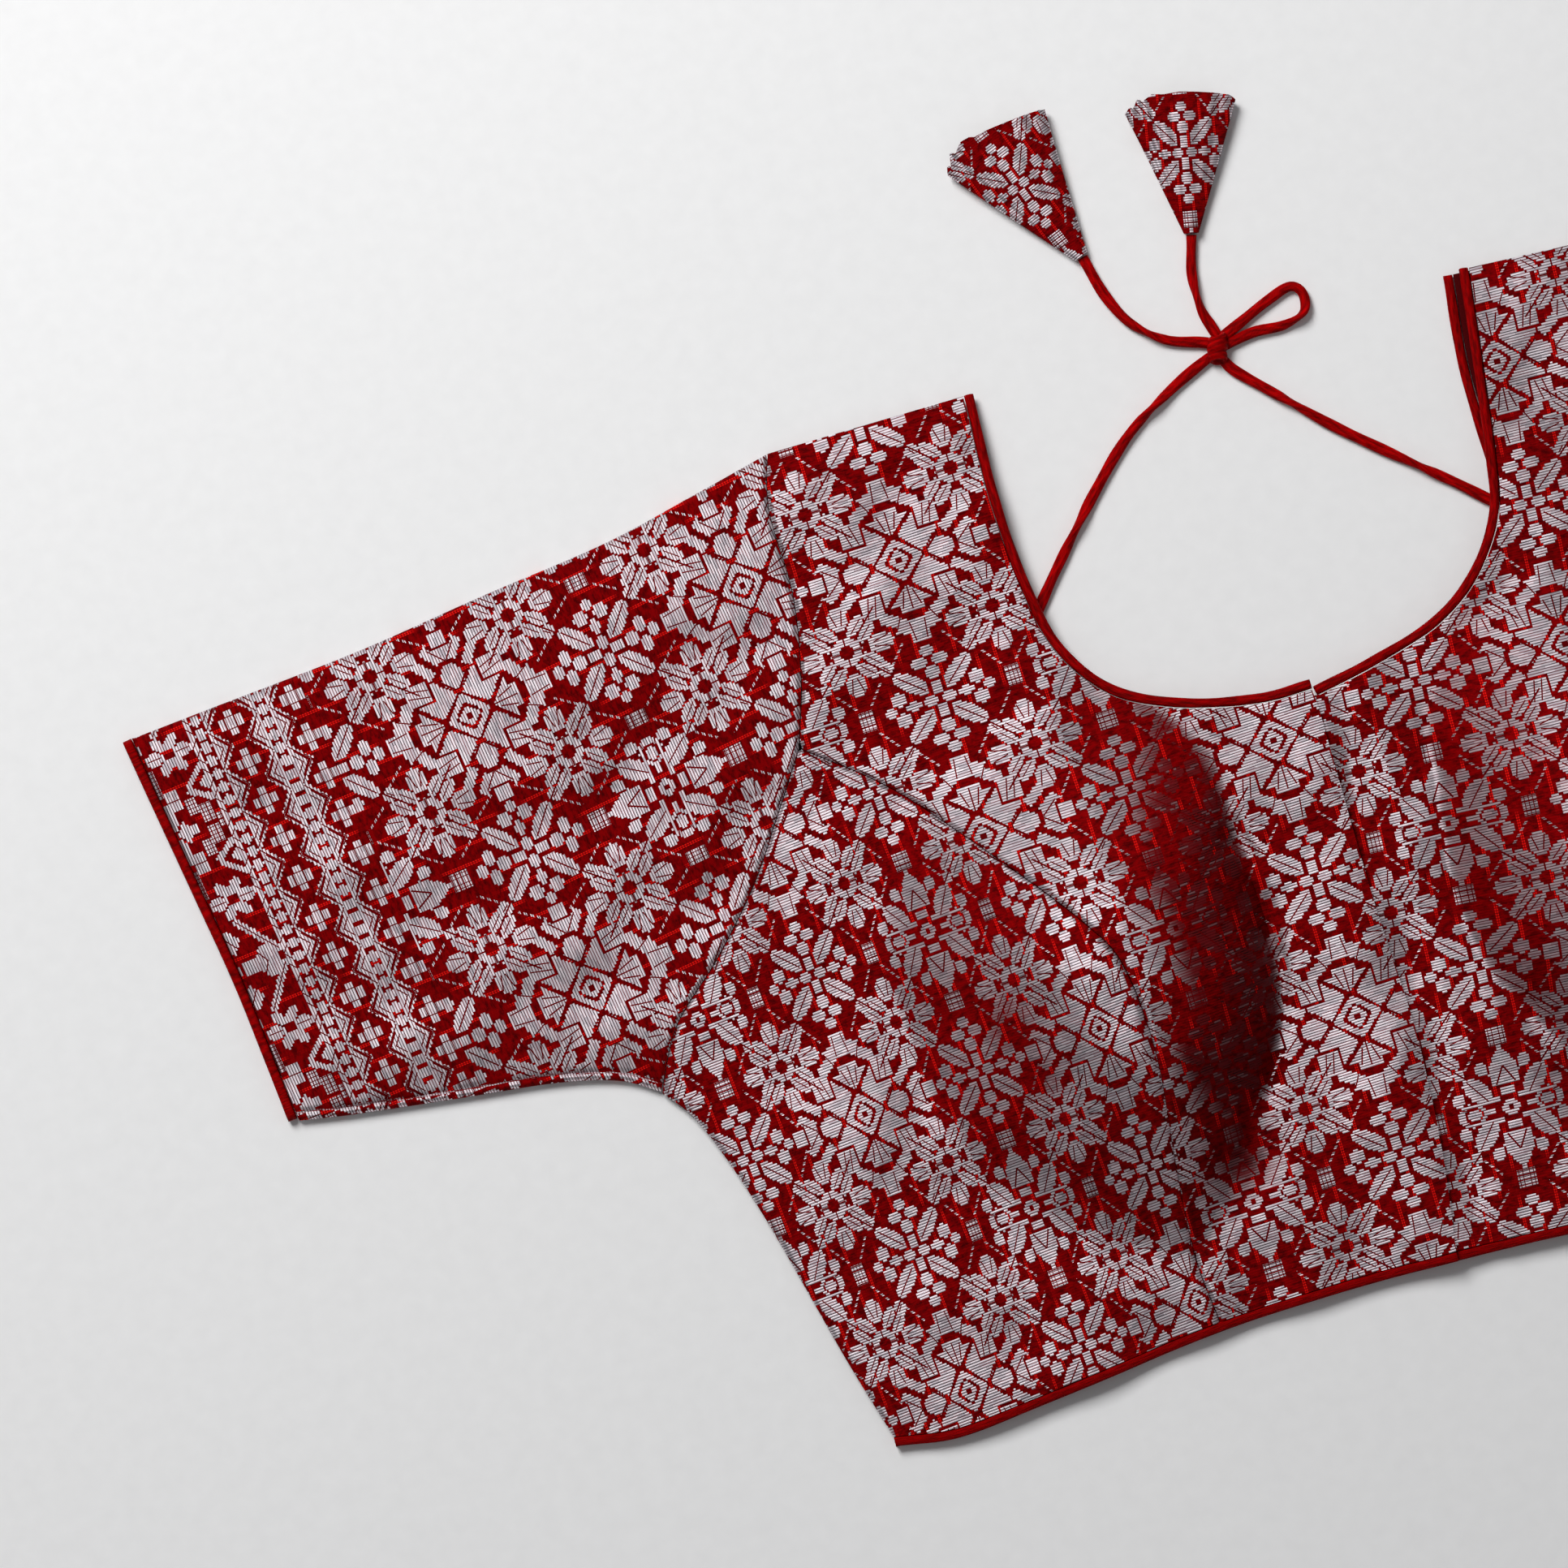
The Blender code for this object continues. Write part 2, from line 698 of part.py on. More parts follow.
Latkan = namedtuple("Latkan", "tip_x tip_y mouth_x mouth_y mouth_width")
LATKANS = {
    "latkan_right": Latkan(-38.7, 165.8, -58.2, 213.0, 40.0),
    "latkan_left": Latkan(0.8, 164.0, 8.2, 209.5, 38.5),
}
LATKAN_TIP_WIDTH = 5.0
LATKAN_TIP_HEIGHT = 4.2
LATKAN_MOUTH_HEIGHT = 7.5
LATKAN_SCALLOP = 2.2
LATKAN_PLEATS = 5


def latkan(name, size):
    """A pressed cone of brocade at a tie's end, with a pleated mouth."""
    sides, stations = 20, 9
    tip = np.array([size.tip_x, size.tip_y])
    run = np.array([size.mouth_x, size.mouth_y]) - tip
    length = np.hypot(*run)
    axis = run / length
    across = np.array([axis[1], -axis[0]])
    turn = np.arange(sides) * 2 * math.pi / sides
    rings = []
    for share in np.linspace(0, 1, stations):
        half = 0.5 * (LATKAN_TIP_WIDTH + share * (size.mouth_width - LATKAN_TIP_WIDTH))
        tall = LATKAN_TIP_HEIGHT + eased(share) * (LATKAN_MOUTH_HEIGHT - LATKAN_TIP_HEIGHT)
        aside = half * np.sign(np.cos(turn)) * np.abs(np.cos(turn)) ** 0.8
        up = tall / 2 * (1 + np.sign(np.sin(turn)) * np.abs(np.sin(turn)) ** 0.7)
        scallop = LATKAN_SCALLOP * share**4 * np.cos(LATKAN_PLEATS * turn)
        along = share * length + scallop
        place = tip + along[:, None] * axis + aside[:, None] * across
        rings.append(np.column_stack([place, up]))
    bm = bmesh.new()
    loops = skin(bm, rings)
    bm.faces.new(loops[0])
    mouth = bm.verts.new(to_metres(np.append(tip + axis * length, LATKAN_MOUTH_HEIGHT / 2)))
    for i in range(sides):
        bm.faces.new((loops[-1][i], loops[-1][(i + 1) % sides], mouth))
    return finish_mesh(name, bm, BROCADE)


def build():
    for old in list(bpy.data.objects):
        bpy.data.objects.remove(old)
    for which, side in SIDES.items():
        back_panel(f"back_panel_{which}", which, side)
        front_side(f"front_side_{which}", side)
        front_centre(f"front_centre_{which}", which, side)
        sleeve(f"sleeve_{which}", side)
        sleeve_binding(f"sleeve_binding_{which}", side)
        front_neck_piping(f"neck_piping_{which}", which, side)
    placket_strip("placket_strip")
    back_neck_piping("neck_piping_back")
    hem_binding("hem_binding_right", -front_hem_stations(OVERLAP_EDGE[0].out), upper)
    left_out = neck_edge("left", PIPING_WIDTH + SEAM_GAP)[0, 0]
    left = np.append([-STRIP_WIDTH, -STRIP_WIDTH / 2], front_hem_stations(left_out))
    hem_binding("hem_binding_left", left, underlap)
    half = np.linspace(SIDE_SEAM[0].out, SEAM_GAP / 2, BACK_COLUMNS + 1)
    hem_binding("hem_binding_back", np.append(-half, half[::-1]), lying_flat)
    for name, plan in STRANDS.items():
        strand(name, plan)
    strand("dori_loop", LOOP, LOOP_STEP)
    knot("dori_knot")
    for name, size in LATKANS.items():
        latkan(name, size)


build()
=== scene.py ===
import math
from functools import partial

import bmesh
import bpy
import numpy as np
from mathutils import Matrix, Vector


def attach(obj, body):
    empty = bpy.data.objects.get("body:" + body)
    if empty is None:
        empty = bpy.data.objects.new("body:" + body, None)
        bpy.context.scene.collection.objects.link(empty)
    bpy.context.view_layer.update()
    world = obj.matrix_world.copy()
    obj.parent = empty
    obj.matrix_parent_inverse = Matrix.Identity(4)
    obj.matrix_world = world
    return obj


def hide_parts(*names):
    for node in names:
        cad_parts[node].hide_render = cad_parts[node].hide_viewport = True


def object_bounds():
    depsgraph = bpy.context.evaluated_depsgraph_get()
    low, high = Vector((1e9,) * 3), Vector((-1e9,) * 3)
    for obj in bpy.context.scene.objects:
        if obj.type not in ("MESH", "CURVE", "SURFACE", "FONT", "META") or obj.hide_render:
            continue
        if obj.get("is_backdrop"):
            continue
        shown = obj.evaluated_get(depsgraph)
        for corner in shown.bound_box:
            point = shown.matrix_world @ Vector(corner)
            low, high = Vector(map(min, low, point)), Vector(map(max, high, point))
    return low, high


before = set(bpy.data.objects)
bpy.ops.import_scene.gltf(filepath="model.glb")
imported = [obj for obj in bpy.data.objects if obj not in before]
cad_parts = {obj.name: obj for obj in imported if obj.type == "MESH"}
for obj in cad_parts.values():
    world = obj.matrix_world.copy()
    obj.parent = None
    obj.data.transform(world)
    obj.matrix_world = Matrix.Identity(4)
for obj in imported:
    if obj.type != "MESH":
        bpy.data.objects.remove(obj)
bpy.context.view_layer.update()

# The blouse is worked out in millimetres: x to the wearer's left, y up to the shoulders, both from
# the foot of the front neck, and z up from the table. A finished mesh is in metres, in the row frame.
mm = 0.001
upMiddle = -48.13


def inMetres(points):
    placed = np.array(points, float)
    placed[..., 1] -= upMiddle
    return placed * mm


print("camera, light and table")

# The camera looks straight down: what it sees in mm, its turn in degrees, its distance in metres
photo = {"centre": (-185.7, 12.4), "side": 550.6, "turn": -14.4, "distance": 2.5, "sensor": 36.0}
table = {"size": 6.0, "drop": 0.0004, "paper": ("#f4f4f4", "#fbfbfb"), "grain": 900.0}
room = {"colour": "#f2f2f4", "strength": 0.2, "lampAim": (-0.1, 0, 0)}
lamps = [
    # name, place, size in metres, watts, and whether it is there for what shines or for the rest
    ("overhead", (-0.6, 0.6, 2.5), 1.8, 19.0, True),
    ("screen", (-0.7, 2.0, 1.35), 1.7, 9.5, True),
    ("window", (-0.75, 1.55, 1.7), 1.0, 49.0, False),
]


def linear(code):
    parts = [int(code[i : i + 2], 16) / 255 for i in (1, 3, 5)]
    return (*(c / 12.92 if c < 0.04045 else ((c + 0.055) / 1.055) ** 2.4 for c in parts), 1)


# What the second word of a node's kind sets
modes = {
    "Math": "operation", "VectorMath": "operation", "Mix": "data_type",
    "TexNoise": "noise_dimensions", "TexWhiteNoise": "noise_dimensions", "TexWave": "bands_direction",
}


def put(tree, kind, *inputs, **settings):
    # adds a node with its inputs, in the order of those it uses or in one dictionary by name;
    # a node among them stands for its own output, and a hex value for its colour
    kind, *mode = kind.split()
    made = tree.nodes.new("ShaderNode" + kind)
    for key, value in (*settings.items(), *((modes[kind], word) for word in mode)):
        setattr(made, key, value)
    if inputs and isinstance(inputs[0], dict):
        pairs = [(made.inputs[key], value) for key, value in inputs[0].items()]
    else:
        pairs = zip([socket for socket in made.inputs if socket.enabled], inputs)
    for socket, value in pairs:
        if isinstance(value, bpy.types.Node):
            value = next(output for output in value.outputs if output.enabled)
        if isinstance(value, bpy.types.NodeSocket):
            tree.links.new(value, socket)
        else:
            socket.default_value = linear(value) if isinstance(value, str) else value
    return made


def newMaterial(name):
    made = bpy.data.materials.new(name)
    made.use_nodes = True
    made.node_tree.nodes.clear()
    return made, partial(put, made.node_tree)


def makeStage():
    scene = bpy.context.scene
    camera = bpy.data.objects.new("camera", bpy.data.cameras.new("camera"))
    scene.collection.objects.link(camera)
    x, y, _ = inMetres([*photo["centre"], 0])
    camera.location = (x, y, photo["distance"])
    camera.rotation_euler = (0, 0, math.radians(photo["turn"]))
    camera.data.sensor_width = photo["sensor"]
    camera.data.lens = photo["sensor"] * photo["distance"] / (photo["side"] * mm)
    scene.camera = camera
    scene.view_settings.view_transform = "Standard"

    world = bpy.data.worlds.new("studio")
    world.use_nodes = True
    light = world.node_tree.nodes["Background"].inputs
    light["Color"].default_value, light["Strength"].default_value = linear(room["colour"]), room["strength"]
    scene.world = world
    for name, place, size, watts, shines in lamps:
        light = bpy.data.lights.new(name, "AREA")
        light.shape, light.size, light.energy = "SQUARE", size, watts
        lamp = bpy.data.objects.new(name, light)
        lamp.visible_glossy, lamp.visible_diffuse = shines, not shines
        lamp.location = place
        lamp.rotation_euler = (Vector(room["lampAim"]) - Vector(place)).to_track_quat("-Z", "Y").to_euler()
        scene.collection.objects.link(lamp)

    paper, add = newMaterial("matt white paper")  # even and shadow-soft, with hardly any grain
    grain = add("TexNoise", {"Scale": table["grain"], "Detail": 2.0})
    tint = add("Mix RGBA", grain, *table["paper"])
    shade = add("BsdfPrincipled", {"Base Color": tint, "Roughness": 0.9, "Specular IOR Level": 0.05})
    add("OutputMaterial", shade)
    bm = bmesh.new()
    bmesh.ops.create_grid(bm, x_segments=4, y_segments=4, size=table["size"] / 2)
    bmesh.ops.translate(bm, verts=bm.verts, vec=(0, 0, -table["drop"]))
    mesh = bpy.data.meshes.new("table")
    bm.to_mesh(mesh)
    bm.free()
    mesh.materials.append(paper)
    top = bpy.data.objects.new("table", mesh)
    scene.collection.objects.link(top)
    top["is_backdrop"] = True


makeStage()


# Curves in the plan


def even(count):
    return np.linspace(0, 1, count + 1)


def closerAtEnds(count, pull=0.75):
    x = even(count)
    return x - pull * np.sin(2 * math.pi * x) / (2 * math.pi)


def eased(x):
    x = np.clip(x, 0, 1)
    return x * x * (3 - 2 * x)


def ramp(x, start, run):
    return eased((x - start) / run)


def bell(x, width):
    return np.exp(-((x / width) ** 2))


def reachOf(line):
    # how far along a line each of its points is
    return np.append(0, np.cumsum(np.linalg.norm(np.diff(line, axis=0), axis=1)))


def headings(line):
    step = np.gradient(line, axis=0)
    return step / np.linalg.norm(step, axis=1)[:, None]


def alongCurve(points, shares):
    # a smooth curve through the points, at these shares of its length
    p = np.array(points, float)
    ends = np.vstack([2 * p[0] - p[1], p, 2 * p[-1] - p[-2]])
    t = np.linspace(0, 1, 24, endpoint=False)[:, None]
    runs = []
    for a, b, c, d in zip(ends, ends[1:], ends[2:], ends[3:]):
        bend = (2 * a - 5 * b + 4 * c - d) * t**2 + (3 * b - a - 3 * c + d) * t**3
        runs.append(0.5 * (2 * b + (c - a) * t + bend))
    fine = np.vstack([*runs, p[-1:]])
    reach = reachOf(fine)
    at = np.asarray(shares, float) * reach[-1]
    return np.stack([np.interp(at, reach, fine[:, k]) for k in range(p.shape[1])], axis=1)


def moved(curve, distance):
    # sideways, to its left as it runs
    step = headings(curve)
    return curve + np.reshape(distance, (-1, 1)) * np.stack([-step[:, 1], step[:, 0]], axis=1)


def straight(a, b, shares):
    return a + shares[:, None] * (b - a)


def patch(foot, head, near, far, s, t):
    # rows of points that fill the space between four edges
    s, t = s[None, :, None], t[:, None, None]
    across = (1 - s) * near[:, None] + s * far[:, None]
    upward = (1 - t) * foot[None] + t * head[None]
    low = (1 - s) * near[0] + s * far[0]
    high = (1 - s) * near[-1] + s * far[-1]
    return across + upward - (1 - t) * low - t * high


# The pattern pieces, (out from the centre front, up from the foot of the neck)
outline = {
    "hem": [(0, -208.2), (40, -208.8), (84, -211.6), (123, -217), (154, -221.4), (183, -224.9),
            (204.5, -222.5)],
    "sideSeam": [(205.4, -218.8), (214.9, -188.2), (230.9, -130.5), (243.7, -96.3), (254.3, -81.5)],
    "armholeLow": [(254.3, -81.5), (242.8, -59.8), (223.9, -41.4), (205.1, -19.7), (190.3, 2.7),
                   (177.4, 23.2)],
    "armholeHigh": [(177.4, 23.2), (170.5, 47.6), (166.2, 76), (167, 106), (162.7, 126)],
    "princess": [(84.6, -208), (87.3, -184), (86.5, -147), (84.5, -108.5), (88, -77.5), (96.5, -61),
                 (117.5, -34.5), (149, 0.8), (177.4, 23.2)],
    "opening": [(-1.5, -204.8), (-5.5, -170), (-7, -125), (-4.2, -80), (-3, -40), (-2, -3)],
    "neckRight": [(-1.5, 2.2), (16.6, 1.8), (42.7, 6.8), (64.8, 17), (79, 35.5), (85, 60), (87.8, 92),
                  (87.4, 128.4)],
    "neckLeft": [(2.2, -0.6), (23.8, 4.3), (47.8, 12.1), (65.2, 24.7), (77, 43), (81.2, 64.2), (84.4, 92.8),
                 (88.3, 128.4)],
    "backNeckRight": [(0, -86), (45, -78), (72, -53), (85, -18), (87.5, 20), (87, 47), (91, 86),
                      (92.5, 127.5)],
    "backNeckLeft": [(0, -86), (45, -78), (72, -53), (84, -18), (84, 20), (82, 49), (80, 92), (82.6, 127.5)],
    "sleeveUnder": [(383.5, -59.2), (361.5, -62.3), (323, -66.2), (290, -69.3), (268, -74), (254.3, -81.5)],
    "sleeveFold": [(406.8, 84.2), (375, 88), (319.4, 94.6), (272, 102.6), (226.7, 109.6), (192.8, 118),
                   (162.7, 126)],
    "shoulder": [(162.7, 126), (120, 129), (87, 129)],
    "sleeveEnd": [(383.5, -59.2), (389.9, -8.4), (396.3, 27), (406.8, 84.2)],
}
edgeRows = {"sideSeam": 11, "armholeLow": 9, "armholeHigh": 8, "princess": 20, "opening": 13, "backSeam": 8}
panelRows = 28  # pattern rows from the hem to the shoulder
cloth = {
    "wall": 1.5,  # brocade with its lining
    "gap": 0.3,
    "edgeHeight": 3.6,
    "bodyLoft": 7.0,
    "sleeveLoft": 6.0,
    "armhole": (185, -30),  # where the sleeve's loft turns into the body's
    "edgeRun": 13.0,
    "openEdgeShare": 0.42,
    "openEdgeRun": 15.0,
    "piping": 3.4,
    "binding": 3.2,
}
overlap = {"rise": 1.5, "spread": 16.0, "drop": 2.0, "from": 10.0, "to": 22.0, "strip": 13.0}
cup = {
    "out": 88.0,
    "up": -84.0,
    "height": 44.0,
    "fullness": 2.4,
    "crease": 2.8,  # where the cup meets the flat middle
    "creaseWidth": 3.2,
    "creaseTurn": (64, -24),  # angle where it ends, and its run
    "creaseLeft": 0.15,  # share of it on the wearer's left
    # angle from the centre front, reach, and how sharply it meets the flat cloth
    "reach": [
        (-180, 82, 2.0), (-135, 84, 2.0), (-90, 101, 1.8), (-75, 80, 1.5), (-60, 65, 1.25), (-42, 59, 1.1),
        (-20, 55, 1.02), (0, 53.5, 1.0), (20, 56.5, 1.02), (40, 65, 1.1), (52, 81, 1.4), (70, 98, 1.8),
        (90, 108, 2.0), (135, 98, 2.0), (180, 82, 2.0),
    ],
}
# Painted shade, where the silver floats are darkened to a deep red on the cup's steep inner wall and its outer
# slope: how much, the shares of the cup's reach where that begins and ends, and its angle from the centre
# front, each with its run
shadePainting = {
    "slopes": [(1, (0.13, 0.32), (1.04, -0.07), (88, -24)), (0.36, (0.3, 0.3), (1, -0.25), (120, 30))],
    # painted shade in the dents beside the cups: place, radius, amount
    "dents": [(132, -88, 14, 0.9), (126, -108, 9.5, 0.9), (64, -155, 13, 1.1), (48, -20, 11, 0.75)],
    "onLeft": 0.5,  # share of it on the wearer's left
}
# Soft folds: both ends, width and depth; a negative depth is a ridge
softFolds = [
    (150, -50, 166, -130, 15, 3.4),
    (160, -128, 140, -185, 13, 2.9),
    (196, -70, 178, -150, 14, -2.4),
    (120, -150, 112, -205, 13, -2.4),
    (34, -30, 24, -150, 12, 1.2),
    (235, -45, 262, 40, 12, 1.2),
    (300, -50, 318, 40, 16, -0.8),
    (232, 29, 260, 20, 7, 2.2),
    (342, 30, 372, 52, 9, 0.9),
    (206, 6, 238, -22, 8, -1.0),
    (143, -74, 117, -133, 7, 5.2),
    (82, -147, 46, -137, 4.5, -1.6),
    (40, -140, 76, -182, 7, 2.2),
]
# Small puckers on the wearer's left of the opening only, where the overlap presses on it
openingFolds = [(10, 2, 5, -64, 4.5, 1.3), (14, -22, 30, -30, 4.0, 0.7), (12, -66, 26, -78, 4.0, 0.7),
                (8, -96, 22, -104, 4.5, 0.8), (11, -128, 24, -132, 4.0, 0.6)]
# The cloth's own easy waves: direction, wavelength, height, start
ripples = [(12, 46, 0.45, 0.3), (75, 31, 0.3, 1.9), (-38, 23, 0.2, 4.1), (118, 62, 0.5, 2.2)]


def chain(names, shares):
    # edges that follow on from each other, each with its number of pattern rows
    at = np.asarray(shares, float) * sum(edgeRows[name] for name in names)
    line, begun = np.zeros((len(at), 2)), 0
    for name in names:
        here = at >= begun
        line[here] = alongCurve(outline[name], np.clip((at[here] - begun) / edgeRows[name], 0, 1))
        begun += edgeRows[name]
    return line


def rippleRise(x, y):
    total = np.zeros_like(x)
    for direction, wavelength, height, start in ripples:
        along = x * math.cos(math.radians(direction)) + y * math.sin(math.radians(direction))
        phase = 2 * math.pi * along / wavelength + start
        total += height * np.sin(phase + 0.9 * np.sin(y / 37 - x / 53 + start))
    return total


def awayFrom(x, y, curve):
    a, run = curve[:-1], np.diff(curve, axis=0)
    place = np.stack([x, y], axis=-1)[..., None, :]
    share = ((place - a) * run).sum(-1) / (run**2).sum(-1)
    return np.linalg.norm(place - a - np.clip(share, 0, 1)[..., None] * run, axis=-1).min(axis=-1)


closedEdges = [
    np.vstack([alongCurve(first, even(count)), alongCurve(then, even(more))[1:]])
    for first, count, then, more in (
        (outline["sideSeam"], 16, outline["sleeveUnder"][::-1], 14),
        (outline["sleeveFold"], 24, outline["shoulder"], 6),
    )
]
openEdges = [alongCurve(outline["hem"], even(24)), alongCurve(outline["sleeveEnd"], even(10))]


def fromCup(x, up):
    # the distance from the cup's top, the angle from the centre front, the cup's reach there and its foot
    toward, above = cup["out"] - np.abs(x), up - cup["up"]
    angle = np.degrees(np.arctan2(above, toward))
    way = np.array(cup["reach"])
    reach, foot = (np.interp(angle, way[:, 0], way[:, k]) for k in (1, 2))
    return np.hypot(toward, above), np.abs(angle), reach, foot


def cupRise(x, up):
    away, turned, reach, foot = fromCup(x, up)
    crease = cup["crease"] * bell(away - reach, cup["creaseWidth"]) * ramp(turned, *cup["creaseTurn"])
    crease = crease * np.where(x < 0, 1, cup["creaseLeft"])
    return cup["height"] * (1 - np.clip(away / reach, 0, 1) ** cup["fullness"]) ** foot - crease


def paintedShadeAt(x, y):
    # from 0 to 1, how much painted shade darkens the silver floats to the red ground
    away, turned, reach, _ = fromCup(x, y)
    share, total = away / reach, np.zeros_like(x)
    for amount, begin, end, turn in shadePainting["slopes"]:
        total = np.maximum(total, amount * ramp(share, *begin) * ramp(share, *end) * ramp(turned, *turn))
    for out, up, radius, amount in shadePainting["dents"]:
        total = np.maximum(total, amount * bell(np.hypot(np.abs(x) - out, y - up), radius))
    return np.clip(total, 0, 1) * np.where(x < 0, 1.0, shadePainting["onLeft"])


def foldRise(out, up, folds):
    total = np.zeros_like(out)
    for out0, up0, out1, up1, width, depth in folds:
        run = np.array([out1 - out0, up1 - up0])
        length = np.hypot(*run)
        along = ((out - out0) * run[0] + (up - up0) * run[1]) / length**2
        aside = ((out - out0) * run[1] - (up - up0) * run[0]) / length
        total -= depth * np.sin(math.pi * np.clip(along, 0, 1)) ** 2 * bell(aside, width)
    return total


def upper(x, y):
    out = np.abs(x)
    closed, opened = (
        np.minimum(*(awayFrom(out, y, edge) for edge in edges)) for edges in (closedEdges, openEdges)
    )
    loft = cloth["sleeveLoft"] + (cloth["bodyLoft"] - cloth["sleeveLoft"]) * ramp(out, *cloth["armhole"])
    inward = 1 - np.exp(-closed / cloth["edgeRun"])
    share = cloth["openEdgeShare"]
    built = inward * (share + (1 - share) * (1 - np.exp(-opened / cloth["openEdgeRun"])))
    rise = overlap["rise"] * bell(x, overlap["spread"])
    soft = (cupRise(x, y) + foldRise(out, y, softFolds) + rippleRise(x, y)) * inward
    return cloth["edgeHeight"] + (loft - cloth["edgeHeight"]) * built + rise + soft


def underlap(x, y):
    # the wearer's left front, which goes down under the other one at the opening
    lowered = upper(x, y) - overlap["drop"] * eased((overlap["to"] - x) / (overlap["to"] - overlap["from"]))
    return lowered + foldRise(x, y, openingFolds)


def flatBack(x, y):
    return np.full_like(x, cloth["wall"])


def clothOn(plan, height, step=0.5):
    # the upper and the lower face of cloth that lies over a plan
    x, y = plan[..., 0], plan[..., 1]
    dx = (height(x + step, y) - height(x - step, y)) / (2 * step)
    dy = (height(x, y + step) - height(x, y - step)) / (2 * step)
    n = np.stack([-dx, -dy, np.ones_like(dx)], axis=-1)
    face = np.stack([x, y, height(x, y)], axis=-1)
    return face, face - cloth["wall"] * n / np.linalg.norm(n, axis=-1)[..., None]


# Meshes

cutAngle = 70  # degrees; the cut edge of the cloth stays sharp
# Where each face lies on the map that is baked: its start and its span
bakeMap = {"outer": (0.01, 0.75), "inner": (0.8, 0.19), "up": (0.01, 0.98), "rim": 0.008}


def gridShell(name, outer, inner, weave, finish, closed=False, node=None):
    # a grid of points for the outer face, and one for the inner face, joined round the rim;
    # a closed one is a tube whose last column lies on its first
    looks, slotName = finish
    rows, columns = len(outer) - 1, len(outer[0]) - 1
    bm = bmesh.new()
    bmesh.ops.create_grid(bm, x_segments=columns, y_segments=rows, size=1)
    if inner is not None:
        bmesh.ops.extrude_face_region(bm, geom=bm.faces[:], use_keep_orig=True)
    bm.verts.ensure_lookup_table()
    first = (rows + 1) * (columns + 1)
    places = []
    for v in bm.verts:
        places.append((v.index >= first, round((v.co.y + 1) / 2 * rows), round((v.co.x + 1) / 2 * columns)))
    if closed and inner is not None:
        rim = [f for f in bm.faces if len({places[v.index][0] for v in f.verts}) == 2]
        walls = [f for f in rim if len({places[v.index][2] for v in f.verts}) == 1]
        bmesh.ops.delete(bm, geom=walls, context="FACES")
    metres = [inMetres(outer), None if inner is None else inMetres(inner)]
    for v, (within, row, column) in zip(bm.verts, places):
        v.co = metres[within][row, column]
    mesh = bpy.data.meshes.new(name)
    bm.to_mesh(mesh)
    bm.free()

    layer, row, column = np.array(places).T
    corner = np.zeros(len(mesh.loops), int)
    mesh.loops.foreach_get("vertex_index", corner)
    total = np.zeros(len(mesh.polygons), int)
    mesh.polygons.foreach_get("loop_total", total)
    face = np.repeat(np.arange(len(total)), total)
    within = np.bincount(face, layer[corner]) / total
    inside = layer[corner] == 1
    onRim = inside & ((within > 0) & (within < 1))[face]
    s, t = column[corner] / columns, row[corner] / rows
    outerU, innerU, upV = (start + span * share for (start, span), share in zip(
        (bakeMap["outer"], bakeMap["inner"], bakeMap["up"]), (s, s, t)))
    aside, above = (onRim * bakeMap["rim"] * ((c == 1) * 1.0 - (c == 0)) for c in (s, t))
    bake = np.stack([np.where(inside & ~onRim, innerU, outerU + aside), upV + above], axis=1)
    for key, values in (("weave", np.asarray(weave, float)[row, column][corner]), ("OFBake", bake)):
        mesh.uv_layers.new(name=key).uv.foreach_set("vector", values.astype(np.float32).ravel())
    for look in looks:
        mesh.materials.append(look)
    if len(looks) > 1:
        mesh.polygons.foreach_set("material_index", (within == 1).astype(np.int32))

    bm = bmesh.new()
    bm.from_mesh(mesh)
    if closed:
        bmesh.ops.remove_doubles(bm, verts=bm.verts, dist=1e-7)
    if closed and inner is None:
        bmesh.ops.holes_fill(bm, edges=bm.edges, sides=0)
    bmesh.ops.recalc_face_normals(bm, faces=bm.faces)
    bm.to_mesh(mesh)
    bm.free()
    mesh.shade_smooth()
    if inner is not None:
        mesh.set_sharp_from_angle(angle=math.radians(cutAngle))
    spots = np.zeros(3 * len(mesh.vertices))
    mesh.vertices.foreach_get("co", spots)
    x, y, z = (spots.reshape(-1, 3) / mm).T
    # painted shade for the cups' slopes and dents, kept on each point
    painted_shade = paintedShadeAt(x, y + upMiddle) * (z > cloth["wall"] + 0.2)  # none on the back
    mesh.attributes.new("painted_shade", "FLOAT", "POINT").data.foreach_set("value", painted_shade.astype(np.float32))

    obj = bpy.data.objects.new(name, mesh)
    bpy.context.scene.collection.objects.link(obj)
    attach(obj, "root")
    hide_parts(node or name.rpartition("_")[0])
    return obj
